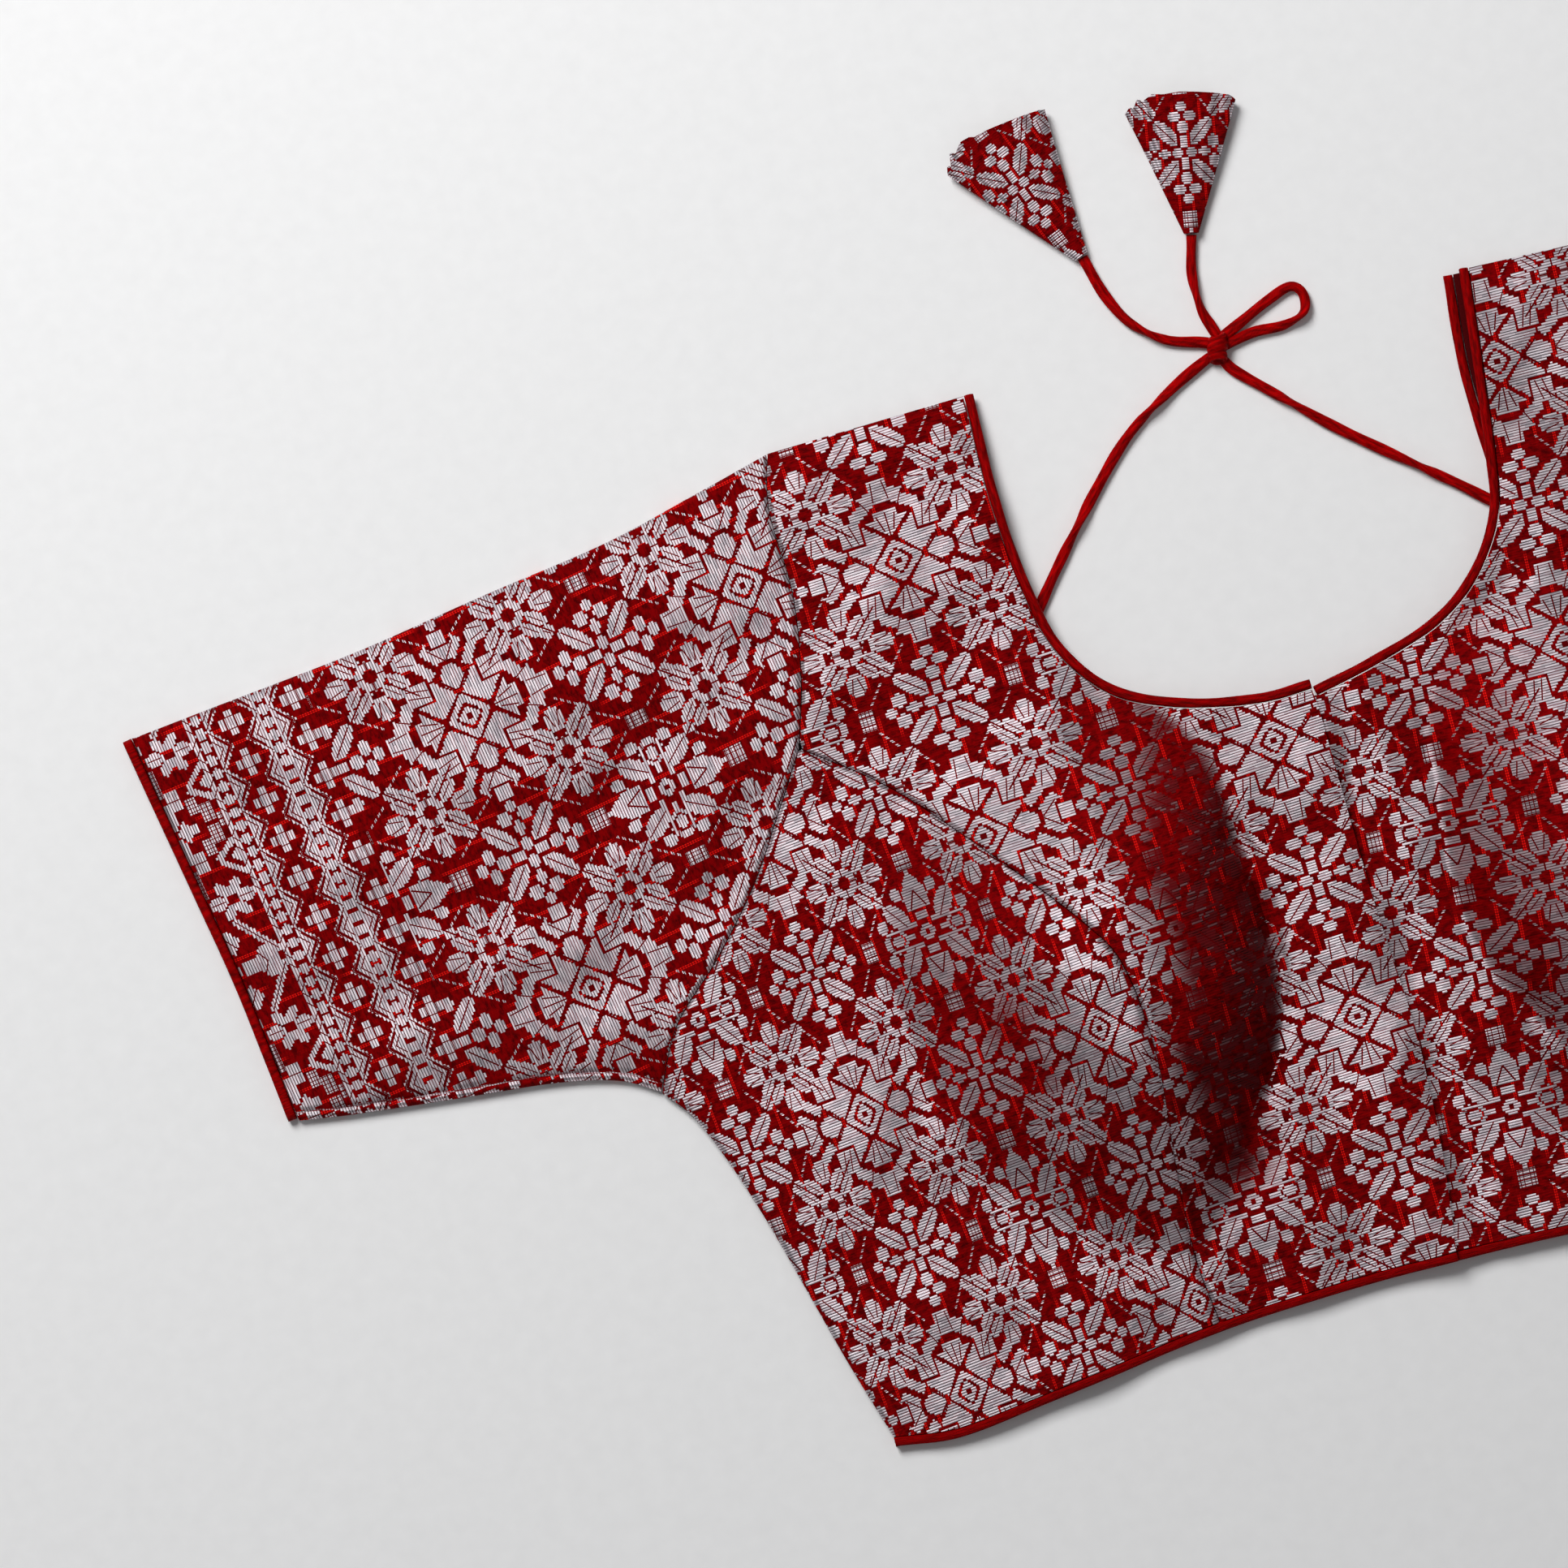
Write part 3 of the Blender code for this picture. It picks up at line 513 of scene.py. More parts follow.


# Figured brocade. The repeat is charted on a square lattice: u runs with the silver weft and v with the warp,
# one unit is half the repeat, and every motif is mirrored about its axes.
# Each mark: centre across, centre up, half width, half height, and its turn in degrees if it has one.
lattice = {
    "unit": 52.3,  # mm
    "rows": 55, "columns": 64,  # threads a unit
    "squares": (38, 29), "groove": 0.24,  # the checked blocks, squares a unit and the line's share of one
}
armedStar = {
    "base": {
        "lozenge": [(0, 0, 0.18, 0.165), (0, 0.305, 0.155, 0.142)],
        "box": [(0.1695, 0.1555, 0.098, 0.106, 42.5)],
    },
    "cuts": {
        "lozenge": [(0, 0, 0.108, 0.1)],
        "box": [(0, 0.385, 0.2, 0.078), (0.262, 0.258, 0.094, 0.1)],
    },
    "tops": {
        "lozenge": [(0, 0, 0.085, 0.078)],
        "box": [(0, 0.33, 0.075, 0.028), (0.26, 0.26, 0.08, 0.086), (0.22, 0, 0.02, 0.035),
                (0.39, 0.165, 0.078, 0.036, 36), (0.47, 0.085, 0.075, 0.036, 38), (0.455, 0, 0.05, 0.05),
                (0.56, 0, 0.05, 0.05), (0.165, 0.385, 0.075, 0.045, -30), (0.085, 0.455, 0.06, 0.055, -20),
                (0, 0.5, 0.065, 0.09)],
        "oval": [(0.275, 0, 0.075, 0.085), (0.345, 0, 0.035, 0.05)],
    },
    "veins": {
        "box": [(0, 0, 0.022, 0.018), (0.085, 0.243, 0.115, 0.0075, 42.5), (0.252, 0.066, 0.098, 0.0075, 42.5),
                (0.09, 0.0825, 0.122, 0.0075, -42.5), (0, 0.26, 0.005, 0.09), (0.047, 0.275, 0.005, 0.06, -16),
                (0.235, 0.26, 0.0045, 0.075, -14), (0.285, 0.26, 0.0045, 0.075, -14),
                (0.46, 0.05, 0.07, 0.005, 40), (0.12, 0.42, 0.0045, 0.05, -28),
                (0.045, 0.5, 0.0045, 0.07, 6)],
    },
}
leafedStar = {
    "base": {
        "oval": [(0, 0, 0.062, 0.055), (0, 0.25, 0.105, 0.08), (0.2, 0.155, 0.125, 0.07, 54),
                 (0.147, 0.295, 0.045, 0.048), (0.335, 0.12, 0.045, 0.05), (0.27, 0, 0.1, 0.085)],
        "box": [(0.147, 0, 0.034, 0.026), (0, 0.113, 0.055, 0.027), (0.1, 0.07, 0.034, 0.026),
                (0, 0.205, 0.108, 0.048), (0.3, 0.288, 0.03, 0.035)],
        "lozenge": [(0, 0.3, 0.1, 0.15)],
    },
    "cuts": {"oval": [(0, 0, 0.018, 0.018), (0.255, 0, 0.062, 0.055)]},
    "tops": {"oval": [(0.25, 0, 0.044, 0.038)]},
    "veins": {"box": [(0.033, 0.23, 0.006, 0.068, 28), (0.2, 0.155, 0.105, 0.0045, 54),
                      (0.3, 0.045, 0.05, 0.004, 12)]},
}
petalFlower = {
    "base": {
        "oval": [(0.16, 0.155, 0.135, 0.06, 42), (0, 0.08, 0.038, 0.052), (0, 0.195, 0.045, 0.052),
                 (0.07, 0.272, 0.055, 0.042), (0, 0.345, 0.05, 0.042), (0.065, 0, 0.052, 0.036),
                 (0.18, 0, 0.058, 0.033), (0.265, 0.073, 0.052, 0.05), (0.335, 0, 0.045, 0.036),
                 (0.285, 0.308, 0.052, 0.05)],
    },
    "veins": {"box": [(0.16, 0.155, 0.11, 0.005, 42), (0.285, 0.308, 0.03, 0.0045, 50)]},
}
roundFloret = {
    "base": {"oval": [(0, 0, 0.105, 0.105), (0.235, 0, 0.088, 0.07), (0.16, 0.1, 0.085, 0.042, 45)]},
    "cuts": {"box": [(0, 0, 0.045, 0.03)]},
    "veins": {"box": [(0.07, 0, 0.035, 0.0055), (0.16, 0.16, 0.13, 0.006, 45),
                      (0.24, 0.028, 0.055, 0.0045, 14), (0.155, 0.1, 0.06, 0.004, 45)]},
}
checkedBlock = {"base": {"box": [(1, 0.5, 0.07, 0.065), (0.5, 1, 0.053, 0.085)]}}
beads = {  # dotted silver lines between the motifs, one dot to a thread row
    "box": [(0.5975, 0.8375, 0.0925, 0.0075, -51.6), (0.7925, 0.625, 0.0836, 0.0075, -51),
            (0.1875, 0.62, 0.0828, 0.0075, 50.4), (0.3975, 0.8375, 0.0965, 0.0075, 53.4),
            (0.8125, 0.38, 0.0828, 0.0075, 50.4), (0.6025, 0.1625, 0.0965, 0.0075, 53.4)],
}
# The sleeve's woven border, in columns side by side from the field down to the bound edge
border = {
    "from": -0.94, "lean": 0.055, "half": 1 / 7,
    "crosses": (-1.027, -1.467), "chains": (-1.236, -1.682),
    "edge": -2.155, "edgeFrom": -1.763,
}
crossMarks = {
    "base": {"box": [(0, 0, 0.035, 0.087), (0, 0, 0.097, 0.03)]},
    "veins": {"box": [(0.043, 0, 0.004, 0.09), (0, 0.036, 0.04, 0.004)]},
}
chainMarks = {
    "base": {"box": [(0.124, -0.074, 1, 0.197, 38.3)]},
    "cuts": {"box": [(0, 0, 1, 0.045)]},
    "veins": {"box": [(0.1, 0.113, 0.062, 0.0095, 38.3), (0.045, 0.075, 0.05, 0.0042, 38.3),
                      (0.1143, 0.08, 0.05, 0.0042, 38.3), (0.13, 0.155, 0.04, 0.0042, 38.3)]},
}
bandMarks = {
    "base": {"box": [(0, 0.062, 1, 0.019)]},
    "veins": {"box": [(0.045, 0.062, 0.03, 0.0042, 38.3), (0.115, 0.062, 0.03, 0.0042, 38.3)]},
}
linkMarks = {"base": {"oval": [(0, 0, 0.039, 0.039)]}}
edgeMarks = {
    "base": {
        "box": [(0, 0.175, 0.037, 0.04), (0.225, 0.13, 0.07, 0.05), (0.204, 0.3175, 0.0974, 0.023, -52.7),
                (0.329, 0.3175, 0.102, 0.023, 49.6), (0.815, 0.275, 0.193, 0.025, 36.6),
                (1, 0.16, 0.05, 0.06)],
        "lozenge": [(0, 0.125, 0.08, 0.07), (0.268, 0.395, 0.065, 0.075), (0.8, 0.085, 0.1, 0.08)],
        "oval": [(0.13, 0.06, 0.1, 0.05), (0.53, 0.324, 0.045, 0.07), (0.53, 0.124, 0.045, 0.07),
                 (0.45, 0.27, 0.06, 0.038, -35), (0.61, 0.27, 0.06, 0.038, 35), (0.45, 0.18, 0.06, 0.038, 35),
                 (0.61, 0.18, 0.06, 0.038, -35), (1, 0.28, 0.115, 0.08), (0.62, 0.03, 0.05, 0.035),
                 (1, 0.055, 0.05, 0.03)],
    },
    "veins": {"box": [(0.53, 0.324, 0.004, 0.05), (0.53, 0.124, 0.004, 0.05), (0.225, 0.13, 0.0042, 0.045),
                      (0.8, 0.085, 0.08, 0.0042, 35), (0.96, 0.25, 0.05, 0.0045, 30),
                      (0.815, 0.275, 0.17, 0.004, 36.6)]},
}
blockEdge = {
    "base": {"box": [(0, 0.37, 0.045, 0.025), (0.075, 0.305, 0.07, 0.05), (0.145, 0.235, 0.06, 0.04),
                     (0.37, 0.045, 0.11, 0.045)]},
}
farMark = (9, 9, 1, 1)  # fills up a group of three


def marksIn(add, x, y, marks):
    # under 1 inside any mark; three marks are worked out at a time, one in each part of a vector
    best = None
    for shape, rows in marks.items():
        for start in range(0, len(rows), 3):
            three = (rows[start : start + 3] + [farMark] * 2)[:3]
            out, up, half, high, turn = np.array([(*mark, 0)[:5] for mark in three], float).T
            c, s = np.cos(np.radians(turn)), np.sin(np.radians(turn))
            wide, tall = -(out * c + up * s) / half, -(up * c - out * s) / high
            if turn.any():
                wide = add("VectorMath MULTIPLY_ADD", y, s / half, wide)
                tall = add("VectorMath MULTIPLY_ADD", x, -s / high, tall)
            wide = add("VectorMath MULTIPLY_ADD", x, c / half, wide)
            tall = add("VectorMath MULTIPLY_ADD", y, c / high, tall)
            if shape == "oval":
                square = add("VectorMath MULTIPLY", wide, wide)
                near = add("VectorMath MULTIPLY_ADD", tall, tall, square)
            else:
                sides = [add("VectorMath ABSOLUTE", side) for side in (wide, tall)]
                near = add("VectorMath " + {"box": "MAXIMUM", "lozenge": "ADD"}[shape], *sides)
            best = near if best is None else add("VectorMath MINIMUM", best, near)
    one, two, three = add("SeparateXYZ", best).outputs
    return add("Math MINIMUM", add("Math MINIMUM", one, two), three)


def added(add, masks, more):
    return [add("Math MAXIMUM", old, new) for old, new in zip(masks, more)]


# A motif's layers: what counts as inside their marks, and how they join what lies under them
layers = [
    ("base", "LESS_THAN", "MAXIMUM"), ("cuts", "GREATER_THAN", "MULTIPLY"), ("tops", "LESS_THAN", "MAXIMUM"),
]


def figure(add, xs, ys, motif, over=None):
    # the silver and the fine dark lines of a motif, joined to those of the motifs before it;
    # xs and ys hold a place across and up, each thread by thread and as it is
    silver, lines = 0.0, 0.0
    for layer, test, join in layers:
        if layer in motif:
            here = add("Math " + test, marksIn(add, xs[0], ys[0], motif[layer]), brocade["edge"][layer])
            silver = add("Math " + join, silver, here)
    if "veins" in motif:
        lines = add("Math LESS_THAN", marksIn(add, xs[1], ys[1], motif["veins"]), 1.0)
    return added(add, over, (silver, lines)) if over else [silver, lines]


def checked(add, xs, ys, motif, over):
    # blocks of small squares
    block = figure(add, xs, ys, motif)[0]
    lines = 0.0
    for value, count in zip((xs[1], ys[1]), lattice["squares"]):
        cell = add("Math FRACT", add("Math MULTIPLY", value, count))
        lines = add("Math MAXIMUM", add("Math LESS_THAN", cell, lattice["groove"]), lines)
    return added(add, over, (block, add("Math MULTIPLY", block, lines)))


def merged(*motifs):
    together = {}
    for motif in motifs:
        for layer, shapes in motif.items():
            for shape, rows in shapes.items():
                together.setdefault(layer, {}).setdefault(shape, []).extend(rows)
    return together


def opposite(motif):
    # a motif charted from the corner (1, 1) of the lattice instead of (0, 0)
    return {
        layer: {shape: [(1 - m[0], 1 - m[1], *m[2:]) for m in rows] for shape, rows in shapes.items()}
        for layer, shapes in motif.items()
    }


def apart(add, value, centre):
    return add("Math ABSOLUTE", add("Math SUBTRACT", value, centre))


def stepped(add, value, count):
    # the middle of the thread that a place falls on
    return add("Math ADD", add("Math SNAP", value, 1 / count), 0.5 / count)


brocade = {
    "ground": "#820003",
    "groundDeep": "#4c0002",
    # the painted highlight of the red metal threads
    "glitter": "#f01812",
    "silver": "#f2e6ec",
    # painted shade in the furrows between silver rows: its usual tone and its nearly black one
    "silverDim": "#c4b8c0",
    "shadowLine": "#6e1018",
    "thread": "#1a0406",
    "vein": "#6a0408",
    # the painted shade's deep red, and how much of the silver it covers
    "shadePainting": "#660508",
    "paintedShadeHides": 0.99,  # share of a float that the painted shade hides
    "glint": 0.1,  # how much less of the painted shade covers a run here and there
    "metallic": 0.8,
    "edge": {"base": 0.94, "cuts": 1.0, "tops": 0.94},  # a mark is drawn this much inside its outline
    "run": 3.6,  # mm of a silver row with one brightness
    "runShift": 0.37,  # of a run, from each row to the next
    "furrow": (0.09, 0.21),  # where the painted furrow shade lies, from the side of a row, in rows
    "pairs": 6.4,  # mm from one pair of red metal threads to the next
    "pairHalf": 0.05,  # the rest in shares of that
    "pairThread": (0.022, 0.042),
    "pairLength": 26.0,  # mm along the warp from one lit stretch to the next
    "pairLit": (0.24, 0.34),
    "pairShine": (0.9, 0.06),  # painted highlight where it is lit, and elsewhere
    "mottle": {"Scale": 1.2, "Detail": 3.0, "Roughness": 0.7},
    "mottleStretch": (12.0, 26.0, 1.0),
    "mottleRange": (0.32, 0.6),
    "relief": 0.7,  # how far the floats stand over the rows' own humps
    "bump": {"Strength": 0.35, "Distance": 0.0004},
    "dull": 0.8,  # share of the runs that are duller
    "blackened": 0.5,  # share of the runs with nearly black painted shade in their furrows
    "glinting": 0.15,  # share of the runs that the painted shade covers less
    "roughness": (0.75, 0.4),  # of the ground and of the silver
    "specular": 0.03,
}


def brocadeMaterial(name, bordered):
    # silk woven with flat silver thread: the floats shine in rows over a deep red ground
    made, add = newMaterial(name)
    spot = add("UVMap", uv_map="weave")
    u, v, _ = add("SeparateXYZ", spot).outputs
    fine = [add("Math PINGPONG", c, 1.0) for c in (u, v)]
    xs, ys = ((stepped(add, c, lattice[count]), c) for c, count in zip(fine, ("columns", "rows")))
    masks = figure(add, xs, ys, merged(armedStar, opposite(leafedStar)))
    masks = checked(add, xs, ys, checkedBlock, masks)
    mirrors, corners = [], []
    for a, b in zip(xs, ys):
        right, left = add("Math GREATER_THAN", a, b), add("Math GREATER_THAN", b, a)
        mirrors.append((apart(add, right, a), apart(add, left, b)))
        middle = [apart(add, c, 0.5) for c in (a, b)]
        corners.append([add("Math " + way, *middle) for way in ("MAXIMUM", "MINIMUM")])
    masks = figure(add, *zip(*mirrors), petalFlower, masks)
    masks = figure(add, *zip(*corners), roundFloret, masks)

    # the thread rows: a hump for each, and its number
    row = add("Math MULTIPLY", v, lattice["rows"])
    rowIndex = add("Math FLOOR", row)
    hump = add("Math PINGPONG", row, 0.5)
    # the beads are drawn at twice their real pitch of 0.95 mm, to stay apart in a picture
    dotted = add("Math GREATER_THAN", add("Math PINGPONG", row, 1.0), 0.5)
    line = add("Math LESS_THAN", marksIn(add, *fine, beads), 1.0)
    silver = add("Math MAXIMUM", masks[0], add("Math MULTIPLY", line, dotted))
    vein = masks[1]

    if bordered:
        half = border["half"]
        level, columns = ((stepped(add, c, lattice[count]), c) for c, count in ((v, "rows"), (u, "columns")))
        across, links, along = (
            [add("Math PINGPONG", c, reach) for c in columns] for reach in (half, half / 3, 1.0)
        )
        edged = None
        for cross in border["crosses"]:
            edged = figure(add, across, [apart(add, c, cross) for c in level], crossMarks, edged)
        for number, middle in enumerate(border["chains"]):
            heights = [apart(add, c, middle) for c in level]
            edged = figure(add, links, heights, linkMarks, edged)
            if number:
                under = [add("Math SUBTRACT", middle, c) for c in level]
                edged = figure(add, across, under, bandMarks, edged)
                heights = [add("Math SUBTRACT", c, middle) for c in level]
                heights[0] = add("Math MAXIMUM", heights[0], 0.0)  # nothing of the chain below its spine
            edged = figure(add, across, heights, chainMarks, edged)
        rise = [add("Math SUBTRACT", c, border["edge"]) for c in level]
        lower = checked(add, along, rise, blockEdge, figure(add, along, rise, edgeMarks))
        beneath = add("Math LESS_THAN", v, border["edgeFrom"])
        edged = [add("Mix", beneath, old, new) for old, new in zip(edged, lower)]
        within = add("Math LESS_THAN", v, border["from"])
        silver, vein = (add("Mix", within, old, new) for old, new in zip((silver, vein), edged))

    # flat silver thread: bright in the middle of a row, with painted shade in the furrows between rows, and a
    # darker run here and there
    shift = add("Math MULTIPLY", rowIndex, brocade["runShift"])
    run = add("Math MULTIPLY_ADD", u, lattice["unit"] / brocade["run"], shift)
    cell = add("CombineXYZ", rowIndex, add("Math FLOOR", run))
    chance = add("TexWhiteNoise 2D", cell)
    bright = add("MapRange", chance, 0.0, brocade["dull"])
    other = add("SeparateColor", chance.outputs[1]).outputs[2]
    # painted shade in the furrows between rows, nearly black on some runs
    deepShade = add("Math GREATER_THAN", other, 1 - brocade["blackened"])
    furrow = add("Mix RGBA", deepShade, brocade["shadowLine"], brocade["thread"])
    sunk = add("MapRange", hump, *brocade["furrow"], 1.0, 0.0)
    # painted shade: the silver turns deep red where the point attribute is set
    painted_shade = add("Attribute", attribute_name="painted_shade").outputs["Fac"]
    glint = add("Math GREATER_THAN", other, 1 - brocade["glinting"])
    hidden = add("Math MULTIPLY_ADD", glint, -brocade["glint"], brocade["paintedShadeHides"])
    paintedShadeShare = add("Math MULTIPLY", painted_shade, hidden)
    thread = add("Mix RGBA", bright, brocade["silverDim"], brocade["silver"])
    for share, tone in ((paintedShadeShare, brocade["shadePainting"]), (sunk, furrow), (vein, brocade["vein"])):
        thread = add("Mix RGBA", share, thread, tone)

    # the ground: deep red silk, faintly mottled, with painted highlights in stretches along pairs of red metal
    # threads in the warp
    bar = add("Math MULTIPLY", u, lattice["unit"] / brocade["pairs"])
    pair = apart(add, apart(add, add("Math FRACT", bar), 0.5), brocade["pairHalf"])
    thin = add("MapRange", pair, *brocade["pairThread"], 1.0, 0.0)
    start = add("TexWhiteNoise 1D", add("Math FLOOR", bar))
    length = add("Math MULTIPLY_ADD", v, lattice["unit"] / brocade["pairLength"], start)
    # painted highlight: the metal threads are drawn lit in stretches, brightest on the rows' crowns
    lit = add("MapRange", add("Math PINGPONG", length, 0.5), *brocade["pairLit"], *brocade["pairShine"])
    dots = add("MapRange", hump, 0.1, 0.3, 0.15, 1.0)
    spark = add("Math MULTIPLY", add("Math MULTIPLY", thin, lit), dots)
    stretched = add("VectorMath MULTIPLY", spot, brocade["mottleStretch"])
    mottle = add("TexNoise 2D", {"Vector": stretched, **brocade["mottle"]})
    mottle = add("MapRange", mottle, *brocade["mottleRange"])
    ground = add("Mix RGBA", mottle, brocade["groundDeep"], brocade["ground"])
    ground = add("Mix RGBA", spark, ground, brocade["glitter"])

    colour = add("Mix RGBA", silver, ground, thread)
    # the metal fades under the painted shade
    metal = add("Math MULTIPLY_ADD", paintedShadeShare, -brocade["metallic"], brocade["metallic"])
    metal = add("Math MULTIPLY", silver, metal)
    rough = add("Mix", silver, *brocade["roughness"])
    relief = add("Math MULTIPLY_ADD", silver, brocade["relief"], hump)
    add("OutputMaterial", add("BsdfPrincipled", {
        "Base Color": colour, "Metallic": metal, "Roughness": rough, "Specular IOR Level": brocade["specular"],
        "Normal": add("Bump", {"Height": relief, **brocade["bump"]}),
    }))
    return made


satin = {
    "piping": ("bias-cut red satin", "#a40002", "#5e0001"),  # name, colour, and the painted shade in its wrinkles
    "tie": ("rolled red satin", "#b80002", "#6c0001"),
    "wrinkle": {"Scale": 0.9, "Detail": 3.0},
    "wrinkleLean": {"Rotation": (0, 0, 0.7), "Scale": (1.0, 0.22, 1.0)},
    "wrinkleRange": (0.3, 0.72),
    "twill": {"Scale": 0.5, "Distortion": 0.6, "Detail": 1.0},
    "twillShare": 0.12,  # of its relief
    "bump": {"Strength": 0.5, "Distance": 0.0006},
    "shine": {"Roughness": 0.52, "Specular IOR Level": 0.03},
}


def satinMaterial(name, red, deepShade):
    # bias-cut polyester satin: long soft highlights that break over small wrinkles
    made, add = newMaterial(name)
    spot = add("UVMap", uv_map="weave")
    lean = add("Mapping", {"Vector": spot, **satin["wrinkleLean"]})
    wrinkle = add("TexNoise 2D", {"Vector": lean, **satin["wrinkle"]})
    twill = add("TexWave DIAGONAL", {"Vector": spot, **satin["twill"]})
    # painted shade: darker red in the hollows of the wrinkles
    colour = add("Mix RGBA", add("MapRange", wrinkle, *satin["wrinkleRange"]), deepShade, red)
    height = add("Math MULTIPLY_ADD", twill.outputs[1], satin["twillShare"], wrinkle)
    bump = add("Bump", {"Height": height, **satin["bump"]})
    add("OutputMaterial", add("BsdfPrincipled", {"Base Color": colour, "Normal": bump, **satin["shine"]}))
    return made


cotton = {
    # the lining's red, partly darkened as painted shade for the neck opening
    "colours": ("#3c0508", "#560a0d"),
    "grain": {"Scale": 1400.0, "Detail": 2.0},
    "shine": {"Roughness": 0.9, "Specular IOR Level": 0.04},
}


def liningMaterial():
    # plain woven cotton lining, matt, with a fine even grain; its red is partly darkened to paint the shade
    # inside the neck opening
    made, add = newMaterial("plain woven cotton lining")
    spot = add("TexCoord").outputs["Object"]
    grain = add("TexNoise", {"Vector": spot, **cotton["grain"]})
    colour = add("Mix RGBA", grain, *cotton["colours"])
    add("OutputMaterial", add("BsdfPrincipled", {"Base Color": colour, **cotton["shine"]}))
    return made


lining = liningMaterial()
bodyBrocade = brocadeMaterial("figured silk and silver brocade", False)
sleeveBrocade = brocadeMaterial("figured silk and silver brocade with border", True)
pipingSatin, tieSatin = satinMaterial(*satin["piping"]), satinMaterial(*satin["tie"])
# The outer face's material and the inner's, and the slot
finishes = {
    "body": ([bodyBrocade, lining], "red_silver_brocade"),
    "back": ([lining, bodyBrocade], "red_silver_brocade"),  # it lies with its outer face down
    "sleeve": ([sleeveBrocade, lining], "red_silver_brocade"),
    "piping": ([pipingSatin], "red_satin_piping"),
    "tie": ([tieSatin], "red_rolled_tie"),
}


print("tie")

tie = {"width": 3.7, "thick": 2.5, "twist": 24.0, "step": 1.0, "sides": 16, "lift": 0.05, "diameter": 0.0031}
# Each strand's route, where it turns over, in mm along it, and which way, and what it ends in
strands = {
    "dori_right": {
        "route": [(-85.6, 47.4), (-74, 62), (-55, 84), (-38, 101), (-20, 112.5), (-5.6, 119.6), (-1.6, 120.6)],
        "turns": [(34, 1), (84, 1)], "end": "knot",
    },
    "dori_left": {
        "route": [(80.5, 46.2), (68, 57), (50, 71.5), (32, 86.5), (14, 103.5), (3.6, 113.6), (0.6, 118.2)],
        "turns": [(30, 1), (78, -1)], "end": "knot",
    },
    "dori_tail_right": {
        "route": [(-1.2, 124.6), (-5.5, 126.2), (-17, 130), (-27.5, 138.5), (-34, 150.5), (-38.3, 165.4)],
        "turns": [(24, 1)], "end": "fitting",
    },
    "dori_tail_left": {
        "route": [(1.2, 125.6), (-0.4, 130.4), (-2.6, 138), (-2.6, 150), (0.7, 163.5)],
        "turns": [(17, 1)], "end": "fitting",
    },
    "dori_loop": {
        "route": [(1.4, 125.6), (10, 129.6), (20.5, 134.4), (29.5, 137.4), (33.4, 134), (32.2, 127.6),
                  (24.4, 124.8), (13, 125), (1.2, 122.6)],
        "turns": [(46, 1)], "end": "knot",
    },
}


def tubeRings(line, widths, thicks, turns, sides):
    # rings round a line that lies on the table, each turned about the line
    step = headings(line)
    aside = np.cross([0, 0, 1], step)
    aside /= np.linalg.norm(aside, axis=1)[:, None]
    upward = np.cross(step, aside)
    angle = np.linspace(0, 2 * math.pi, sides + 1)
    a = np.cos(angle)[None] * widths[:, None] / 2
    b = np.sin(angle)[None] * thicks[:, None] / 2
    c, s = np.cos(turns)[:, None], np.sin(turns)[:, None]
    sideways, up = a * c - b * s, a * s + b * c
    return line[:, None] + sideways[..., None] * aside[:, None] + up[..., None] * upward[:, None]


def tubeWeave(line, sides):
    return np.stack(np.meshgrid(np.linspace(0, 12, sides + 1), reachOf(line)), axis=-1)


def tube(name, line, widths, thicks, turns, sides, finish):
    rings = tubeRings(line, widths, thicks, turns, sides)
    return gridShell(name + "_satin", rings, None, tubeWeave(line, sides), finish, closed=True)


def strand(name):
    route, turns = strands[name]["route"], strands[name]["turns"]
    length = reachOf(alongCurve(route, even(60)))[-1]
    share = even(round(length / tie["step"]))
    turn = np.zeros(len(share))
    for at, way in turns:
        turn += way * math.pi * eased((share * length - at) / tie["twist"] + 0.5)
    wobble = 1 + 0.05 * np.sin(share * length / 3.1) + 0.04 * np.sin(share * length / 7.7 + 1)
    widths, thicks = tie["width"] * wobble, tie["thick"] * (2 - wobble)
    high = np.hypot(widths / 2 * np.sin(turn), thicks / 2 * np.cos(turn)) + tie["lift"]
    line = np.column_stack([alongCurve(route, share), high])
    return tube(name, line, widths, thicks, turn, tie["sides"], finishes["tie"]), inMetres(line), length * mm


tiePieces = {name: strand(name) for name in strands}


print("knot and tassels")

knot = {
    "out": -0.5, "up": 122.3, "lean": 12.0, "radius": 2.7, "thick": 2.2, "sides": 12,
    "wraps": [(-2.6, 4.0), (0.6, 4.4), (3.4, 3.4)],  # place along the knot and width
    "slant": 0.9, "closer": 0.35, "sink": 0.4, "flat": 0.85,
}


def knotWraps():
    lean = math.radians(knot["lean"])
    axis = np.array([math.sin(lean), math.cos(lean), 0])
    across = np.array([axis[1], -axis[0], 0])
    angle = np.linspace(-0.5 * math.pi, 1.5 * math.pi, 41)[:, None]
    ring = np.linspace(0, 2 * math.pi, knot["sides"] + 1)[:, None]
    outward = np.cos(angle) * across + np.sin(angle) * np.array([0, 0, 1])
    pieces = []
    for number, (offset, width) in enumerate(knot["wraps"]):
        radius = knot["radius"] - knot["closer"] * abs(number - 1)
        centre = np.array([knot["out"], knot["up"], radius + knot["thick"] / 2 - knot["sink"]])
        line = centre + (offset + knot["slant"] * np.sin(angle + number)) * axis
        line = line + radius * outward * (1, 1, knot["flat"])
        rings = line[:, None] + np.cos(ring) * width / 2 * axis
        rings = rings + np.sin(ring) * knot["thick"] / 2 * outward[:, None]
        rings[..., 2] = np.maximum(rings[..., 2], 0.02)
        weave = tubeWeave(line, knot["sides"])
        name = f"dori_wrap_{number + 1}"
        pieces.append(gridShell(name, rings, None, weave, finishes["tie"], True, "dori_knot"))
    return pieces


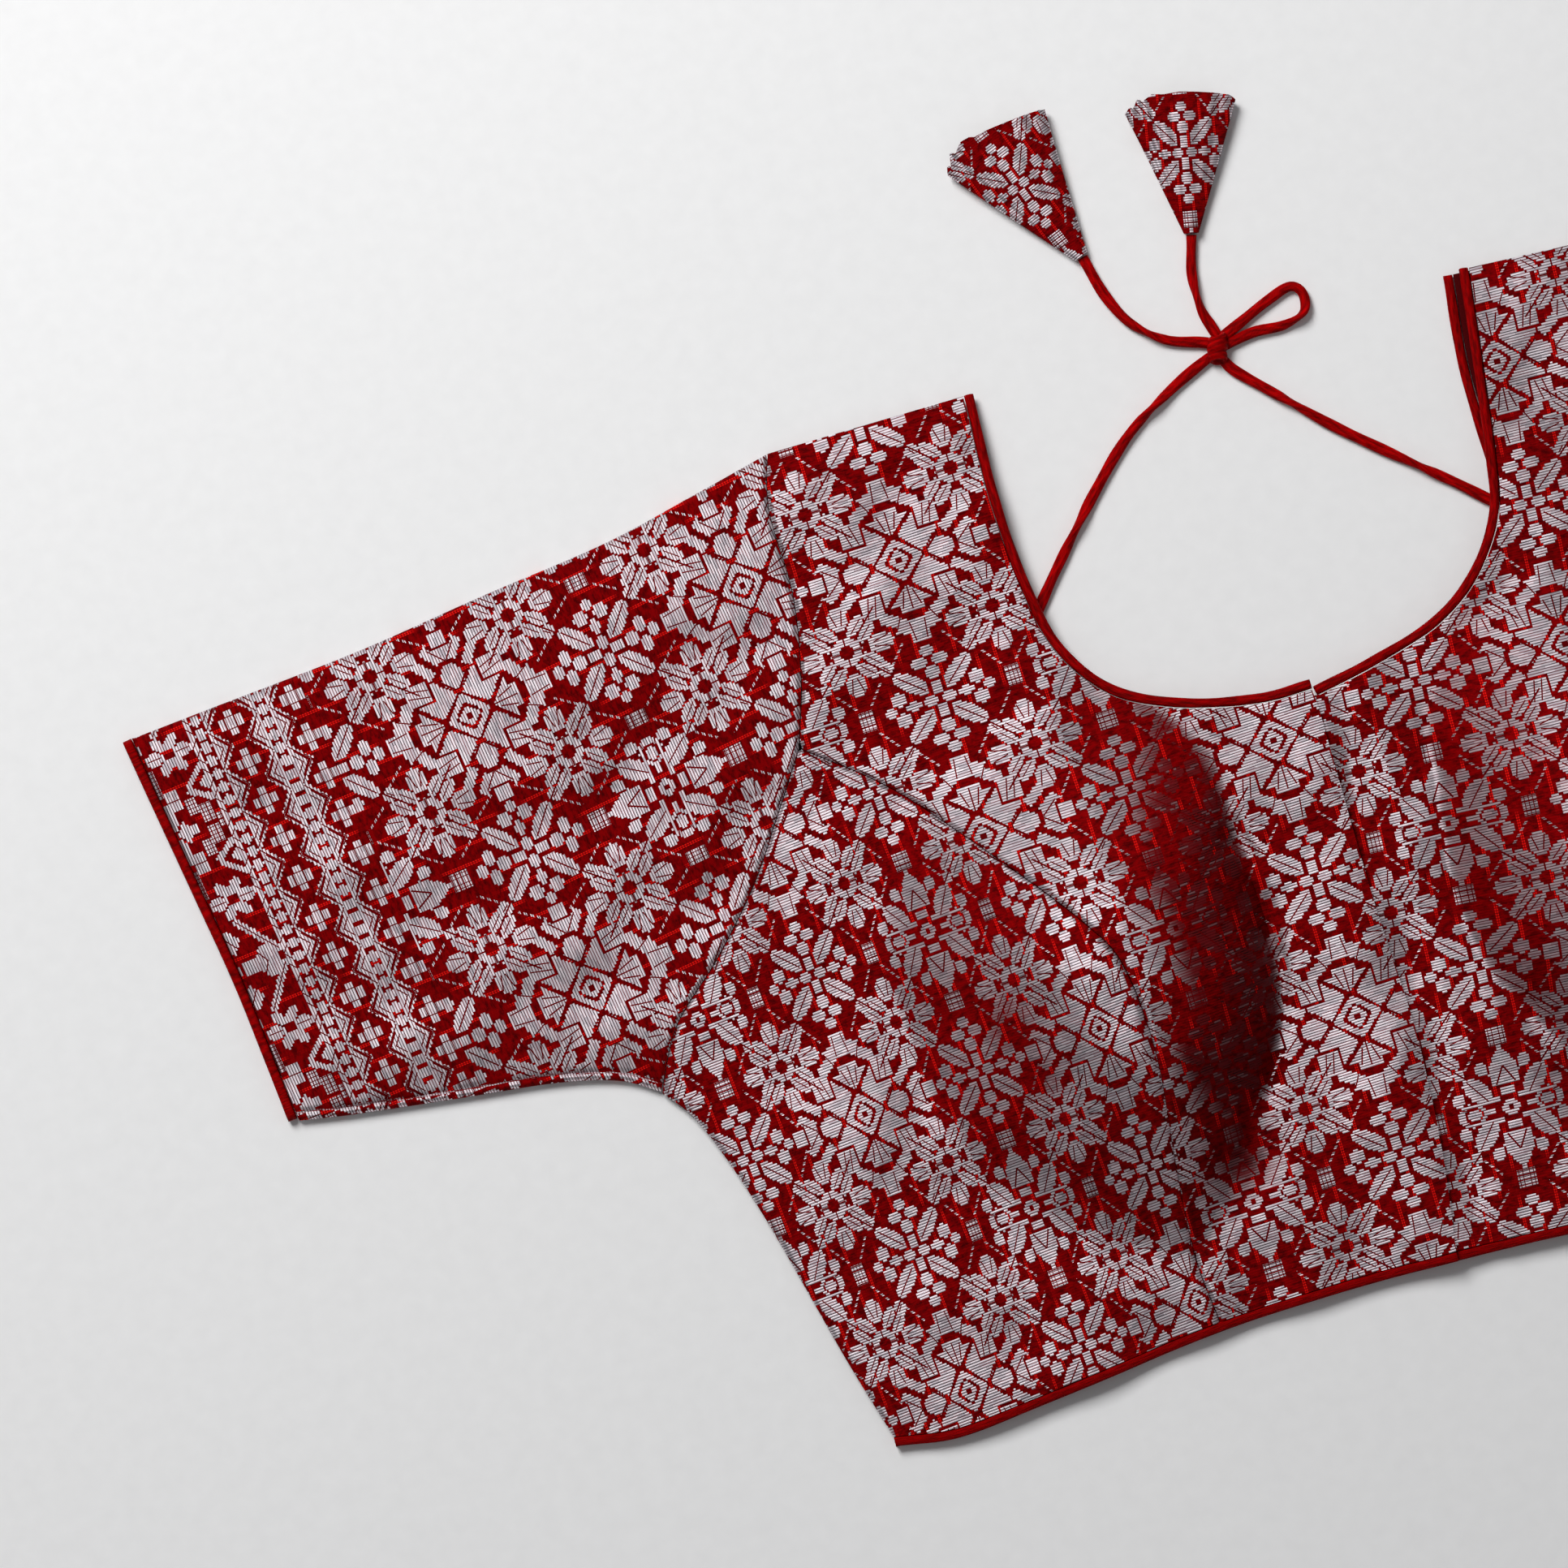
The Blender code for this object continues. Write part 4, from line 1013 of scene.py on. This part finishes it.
tassels = {
    # the tip and the mouth, the width there, where the repeat lies under the mouth, and the
    # mouth's rim: place across from -1 to 1, and how far it reaches
    "latkan_right": {
        "tip": (-38.7, 165.8), "mouth": (-57.6, 211.6), "width": 41.0, "weave": (1.08, 0.36),
        "rim": [(-1.0, 1.4), (-0.93, 3.6), (-0.89, 2.2), (-0.76, 6.9), (-0.7, 5.3), (-0.5, 7.7), (-0.34, 7.3),
                (-0.26, 6.2), (0, 5.4), (0.3, 3.9), (0.6, 2.2), (0.9, 0.3), (1.0, -1.0)],
    },
    "latkan_left": {
        "tip": (0.8, 164.0), "mouth": (7.9, 207.9), "width": 39.0, "weave": (1.0, 0.35),
        "rim": [(-1.0, -1.2), (-0.92, 1.2), (-0.87, 0.0), (-0.76, 3.9), (-0.7, 2.4), (-0.5, 5.0), (-0.3, 4.6),
                (0, 5.0), (0.3, 4.5), (0.65, 3.5), (0.9, 2.4), (1.0, 0.8)],
    },
    "rows": 46, "sides": 144,
    "tipWidth": 5.2, "tipHeight": 4.0, "mouthHeight": 7.0, "wall": 0.8, "underReach": 0.6,
    "gather": (1.35, 1.12),  # the cone's hidden pleats take up cloth, across and along
    # folds that run from the tip to the mouth: place across from -1 to 1, width, depth
    "folds": [(-0.78, 0.09, 1.3), (-0.55, 0.08, 0.9), (-0.2, 0.12, 0.5), (0.35, 0.16, 0.45), (0.72, 0.1, 0.6)],
}


def tassel(name):
    facts = tassels[name]
    tip, mouth = np.array(facts["tip"]), np.array(facts["mouth"])
    length = np.linalg.norm(mouth - tip)
    axis = (mouth - tip) / length
    across = np.array([axis[1], -axis[0]])
    share, turn = np.meshgrid(even(tassels["rows"]), 2 * math.pi * even(tassels["sides"]), indexing="ij")
    place, high = np.cos(turn), np.sin(turn)
    lift = np.sign(high) * np.abs(high) ** 0.6
    fold = sum(depth * bell(place - at, width) for at, width, depth in tassels["folds"])
    reach = np.interp(place, *np.array(facts["rim"]).T) * np.where(high > 0, 1, tassels["underReach"])
    along = share * length + reach * share**5
    faces = []
    for inset in (0, tassels["wall"]):
        half = 0.5 * (tassels["tipWidth"] + share * (facts["width"] - tassels["tipWidth"])) - inset
        tall = tassels["tipHeight"] + eased(share) * (tassels["mouthHeight"] - tassels["tipHeight"])
        up = tall / 2 + (tall / 2 - inset) * lift - fold * share**1.3 * np.clip(lift, 0, 1)
        spot = tip + along[..., None] * axis + (half * place)[..., None] * across
        faces.append(np.concatenate([spot, np.clip(up, 0.02 + inset, None)[..., None]], axis=-1))
    flat = np.stack([(faces[0][..., :2] - tip) @ across, (faces[0][..., :2] - tip) @ axis - length], axis=-1)
    weave = flat * tassels["gather"] / lattice["unit"] + facts["weave"]
    return gridShell(name + "_cloth", *faces, weave, finishes["body"], closed=True)


onStrand = {"dori_right": knotWraps()}
for end in ("right", "left"):
    onStrand["dori_tail_" + end] = [tassel("latkan_" + end)]


print("body panels")

body = {
    "rows": 150, "centreColumns": 66, "sideRows": 110, "sideColumns": 56, "backRows": 90, "backColumns": 40,
    "stripRows": 60, "stripColumns": 8,
    "roll": 0.85,  # how far the outer face turns down at a seam
    "rollRun": 0.85,
    "pucker": 0.22,
    "puckerRun": 4.0,
    "puckerPitch": 7.5,
}
# Where the repeat lies on each piece: the place of a lattice corner, then a step along u and along v
weaves = {
    "centreRight": ((-127.3, 78.3), (53.5, 3.5), (-2.2, 50.4)),
    "centreLeft": ((-15.0, -8.0), (52.5, 0.0), (1.5, 50.8)),
    "sideRight": ((-187.0, -106.6), (42.8, 5.2), (-5.6, 51.6)),
    "sleeveRight": ((-286.3, 62.9), (-8.8, 51.55), (51.9, 10.2)),
}
gap, wall = cloth["gap"], cloth["wall"]
bindingInset = cloth["binding"] + gap
pipingInset = cloth["piping"] + gap
bothSides = (("Right", -1, upper), ("Left", 1, underlap))


def weaveAt(face, name, side):
    # a piece on the wearer's left mirrors the right one's, where it has none of its own
    place = face[..., :2] * (-side, 1)
    origin, stepU, stepV = (np.array(v) for v in weaves[name])
    return (place - origin) @ np.linalg.inv(np.array([stepU, stepV]))


def gapTo(plan, edge):
    return np.linalg.norm(plan - edge, axis=-1)


def sewn(face, seams, seed):
    # the outer face turns down at its seams, with small puckers beside them
    shaped = face.copy()
    edges = {"near": face[:, :1], "far": face[:, -1:]}
    for number, seam in enumerate(seams):
        away = gapTo(face[..., :2], edges[seam][..., :2])
        reach = reachOf(edges[seam][:, 0])[:, None]
        wave = np.sin(reach * 2 * math.pi / body["puckerPitch"] + 1.7 * np.sin(reach / 11.0 + seed + number))
        gather = body["pucker"] * wave * (0.6 + 0.4 * np.sin(reach / 17.0 + 2 * seed))
        shaped[..., 2] += gather * np.exp(-away / body["puckerRun"]) * (1 - np.exp(-away / 0.8))
        shaped[..., 2] -= body["roll"] * bell(away, body["rollRun"])
    return shaped


def panel(name, plan, height, weaveName, finish, weaveSide=-1, seams=(), seed=0.0):
    face, under = clothOn(plan, height)
    weave = weaveAt(face, weaveName, weaveSide)
    return gridShell(name + "_cloth", sewn(face, seams, seed), under, weave, finishes[finish])


def onHem(out, inset):
    hem = alongCurve(outline["hem"], even(200))
    return np.stack([out, np.interp(out, hem[:, 0], hem[:, 1]) + inset], axis=1)


def neckAt(which, shares, inset):
    return moved(alongCurve(outline["neck" + which], shares), -inset)


def sideEdge(names, shares):
    # up the side seam and the armhole, where the gap begins past the underarm
    rows = shares * sum(edgeRows[name] for name in names)
    return moved(chain(names, shares), np.where(rows > edgeRows["sideSeam"] + 0.01, gap / 2, 0.0))


def middleEdge(lower, neck, lowRows, t):
    # up the opening or the centre seam, then along the neckline
    inner = np.zeros((len(t), 2))
    low = t * panelRows <= lowRows
    for line, part, start, rows in ((lower, low, 0, lowRows), (neck, ~low, lowRows, panelRows - lowRows)):
        share = (t[part] * panelRows - start) / rows
        inner[part] = np.stack([np.interp(share, even(200), line[:, k]) for k in (0, 1)], axis=1)
    return inner


def betweenEdges(outer, inner, s, t):
    foot = onHem(outer[0, 0] + s * (inner[0, 0] - outer[0, 0]), bindingInset)
    outer[0], inner[0] = foot[0], foot[-1]
    return patch(foot, straight(outer[-1], inner[-1], s), outer, inner, s, t)


def sidePlan():
    t, s = closerAtEnds(body["sideRows"]), closerAtEnds(body["sideColumns"])
    shares = np.where(t > 0.95, 0.95 + 0.93 * (t - 0.95), t)  # three seams meet just past the tip
    inner = moved(alongCurve(outline["princess"], shares), -gap / 2)
    return betweenEdges(sideEdge(("sideSeam", "armholeLow"), shares), inner, s, t)


def centrePlan(which):
    t, s = closerAtEnds(body["rows"]), closerAtEnds(body["centreColumns"])
    neck = neckAt(which, even(200), pipingInset)
    opening = alongCurve(outline["opening"], even(200))
    if which == "Left":
        opening[:, 0] = neck[0, 0]
    opening[-1] = neck[0]
    outer = moved(chain(("princess", "armholeHigh"), t), gap / 2)
    return betweenEdges(outer, middleEdge(opening, neck, edgeRows["opening"], t), s, t)


def backPlan(which):
    t, s = closerAtEnds(body["backRows"]), closerAtEnds(body["backColumns"])
    neck = moved(alongCurve(outline["backNeck" + which], even(200)), -pipingInset)
    neck[0, 0] = gap / 2
    seam = np.linspace(onHem(neck[:1, 0], bindingInset)[0], neck[0], 201)
    outer = sideEdge(("sideSeam", "armholeLow", "armholeHigh"), t)
    return betweenEdges(outer, middleEdge(seam, neck, edgeRows["backSeam"], t), s, t)


def stripPlan():
    t = closerAtEnds(body["stripRows"])[:, None]
    out = np.linspace(-overlap["strip"], neckStart[0] - gap, body["stripColumns"] + 1)
    foot = onHem(np.abs(out), bindingInset)[:, 1]
    return np.stack([out + 0 * t, foot + t * (neckStart[1] - foot)], axis=-1)


neckStart = neckAt("Left", even(2), pipingInset)[0]
for which, side, height in bothSides:
    end, way = which.lower(), (side, 1)
    panel(
        "front_side_" + end, sidePlan() * way, upper, "sideRight", "body", side, ("near", "far"), 1.0 + side
    )
    panel(
        "front_centre_" + end, centrePlan(which) * way, height,
        "centre" + which, "body", -1, ("near",), 3.0 + side,
    )
    panel(
        "back_panel_" + end, backPlan(which) * way, flatBack, "sideRight", "back", side
    )
panel("placket_strip", stripPlan(), underlap, "centreLeft", "body")


print("sleeves")

sleeve = {
    "rows": 96, "columns": 64, "closer": 0.85, "foldRound": 2.2, "clearance": 0.15,
    "seamInset": 3.0, "seamDepth": 0.9, "seamWidth": 0.7, "endRoll": 0.45, "endRun": 0.7,
    "seamShift": 0.31,  # the repeat doesn't meet itself at the underarm seam
}
binding = {"columns": 8, "hemHigh": 0.6, "sleeveHigh": 0.95, "sink": 0.35, "weave": 24}


def fromBinding(edge, shares):
    # along one edge of the sleeve, from its binding to the armhole
    length = reachOf(alongCurve(outline[edge], even(60)))[-1]
    return alongCurve(outline[edge], 1 - (1 - shares) * (1 - bindingInset / length))


def sleevePlan():
    t, s = closerAtEnds(sleeve["rows"]), closerAtEnds(sleeve["columns"], sleeve["closer"])
    cap = moved(chain(("armholeLow", "armholeHigh"), s), -gap / 2)
    end = moved(alongCurve(outline["sleeveEnd"], s), bindingInset)
    under, fold = fromBinding("sleeveUnder", t), fromBinding("sleeveFold", t)
    under[0], under[-1], fold[0], fold[-1] = end[0], cap[0], end[-1], cap[-1]
    return patch(end, cap, under, fold, s, t)


def flatTube(plan, thick=0, lift=0):
    # pressed flat: over the top from fold to fold and back beneath
    away = np.minimum(gapTo(plan, plan[:, :1]), gapTo(plan, plan[:, -1:]))
    middle = cloth["edgeHeight"] / 2
    rounding = np.sqrt(1 - (1 - np.clip(away / sleeve["foldRound"], 0, 1)) ** 2)
    x, y = plan[..., 0], plan[..., 1]
    over = middle + (upper(x, y) + lift - middle) * rounding
    below = middle - middle * rounding
    if thick:
        over = np.maximum(over - thick, middle + sleeve["clearance"])
        below = np.minimum(below + thick, middle - sleeve["clearance"])
        over[:, [0, -1]] = below[:, [0, -1]] = middle
    faces = [np.stack([x, y, z], axis=-1) for z in (over, below)]
    return np.concatenate([faces[0], faces[1][:, -2::-1]], axis=1)


def inTube(plan):
    # the inner face, a little narrower
    span = plan[:, -1:] - plan[:, :1]
    full = np.linalg.norm(span, axis=-1, keepdims=True)
    share = gapTo(plan, plan[:, :1])[..., None] / full
    return flatTube(plan + (0.5 - share) * 2 * (wall + sleeve["clearance"]) * span / full, wall)


def makeSleeve(end, side):
    plan = sleevePlan()
    fromUnder, fromEnd, fromCap = (gapTo(plan, edge) for edge in (plan[:, :1], plan[:1], plan[-1:]))
    groove = -sleeve["seamDepth"] * bell(fromUnder - sleeve["seamInset"], sleeve["seamWidth"])
    groove -= body["roll"] * bell(fromCap, body["rollRun"])
    groove -= sleeve["endRoll"] * bell(fromEnd, sleeve["endRun"])
    plan = plan * (side, 1)
    outer = flatTube(plan, lift=groove)
    weave = weaveAt(outer, "sleeveRight", side)
    weave[:, : len(plan[0]), 0] += sleeve["seamShift"] * (fromUnder < sleeve["seamInset"])
    weave[..., 0] -= border["lean"] * np.clip(-weave[..., 1], 0, None)
    return gridShell(f"sleeve_{end}_cloth", outer, inTube(plan), weave, finishes["sleeve"], closed=True)


def bulge(high):
    # the rounded profile of a binding
    return (high * np.sqrt(1 - (2 * even(binding["columns"]) - 1) ** 2) - binding["sink"])[:, None]


def makeSleeveBinding(end, side):
    edge = alongCurve(outline["sleeveEnd"], closerAtEnds(sleeve["columns"], sleeve["closer"]))
    plan = np.stack([moved(edge, cloth["binding"] * share) for share in even(binding["columns"])]) * (side, 1)
    outer = flatTube(plan, lift=bulge(binding["sleeveHigh"]))
    weave = tubeWeave(plan[:, 0], len(outer[0]) - 1) * (binding["weave"], 1)
    gridShell(f"sleeve_binding_{end}_satin", outer, inTube(plan), weave, finishes["piping"], closed=True)


for which, side, _ in bothSides:
    makeSleeve(which.lower(), side)
    makeSleeveBinding(which.lower(), side)


print("pipings and bindings")

piping = {"sides": 14, "high": 2.2, "backHigh": 1.7, "lift": 0.05}
hemStep = 1.6


def hemStations(first):
    seam = outline["princess"][0][0]
    inner = np.linspace(first, seam - gap / 2, round((seam - first) / hemStep))
    return np.concatenate([inner, np.linspace(seam + gap / 2, outline["sideSeam"][0][0], 74)])


def hemBinding(name, x, height):
    insets = cloth["binding"] * even(binding["columns"])
    plan = np.stack([np.column_stack([x, onHem(np.abs(x), inset)[:, 1]]) for inset in insets])
    face, under = clothOn(plan, height)
    face[..., 2] += bulge(binding["hemHigh"])
    weave = tubeWeave(x[:, None], binding["columns"]).transpose(1, 0, 2)
    gridShell(name + "_satin", face, under, weave, finishes["piping"])


def neckPiping(name, line, high):
    length = reachOf(line)[-1]
    wobble = 1 + sum(0.03 * np.sin(np.linspace(0, length / pitch, len(line))) for pitch in (3.3, 8.1))
    widths, thicks, turns = cloth["piping"] * wobble, high * wobble, np.zeros(len(line))
    tube(name, line, widths, thicks, turns, piping["sides"], finishes["piping"])


hemBinding("hem_binding_right", -hemStations(outline["opening"][0][0]), upper)
underFront = np.linspace(-overlap["strip"], neckStart[0], 12)[:-1]
hemBinding("hem_binding_left", np.append(underFront, hemStations(neckStart[0])), underlap)
backOut = np.linspace(outline["sideSeam"][0][0], gap / 2, 120)
hemBinding("hem_binding_back", np.append(-backOut, backOut[::-1]), flatBack)
halves = []
for which, side, height in bothSides:
    insets = (pipingInset, cloth["piping"] / 2)
    inside, middle = (neckAt(which, even(160), inset) * (side, 1) for inset in insets)
    line = np.column_stack([middle, height(inside[:, 0], inside[:, 1]) - wall / 2])
    neckPiping("neck_piping_" + which.lower(), line, piping["high"])
    half = moved(alongCurve(outline["backNeck" + which], even(170)), -cloth["piping"] / 2)
    half[0, 0] = 0
    halves.append(half * (side, 1))
line = np.vstack([halves[0][::-1], halves[1][1:]])
high = np.full(len(line), piping["backHigh"] / 2 + piping["lift"])
neckPiping("neck_piping_back", np.column_stack([line, high]), piping["backHigh"])


print("cloth facts")

low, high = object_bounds()
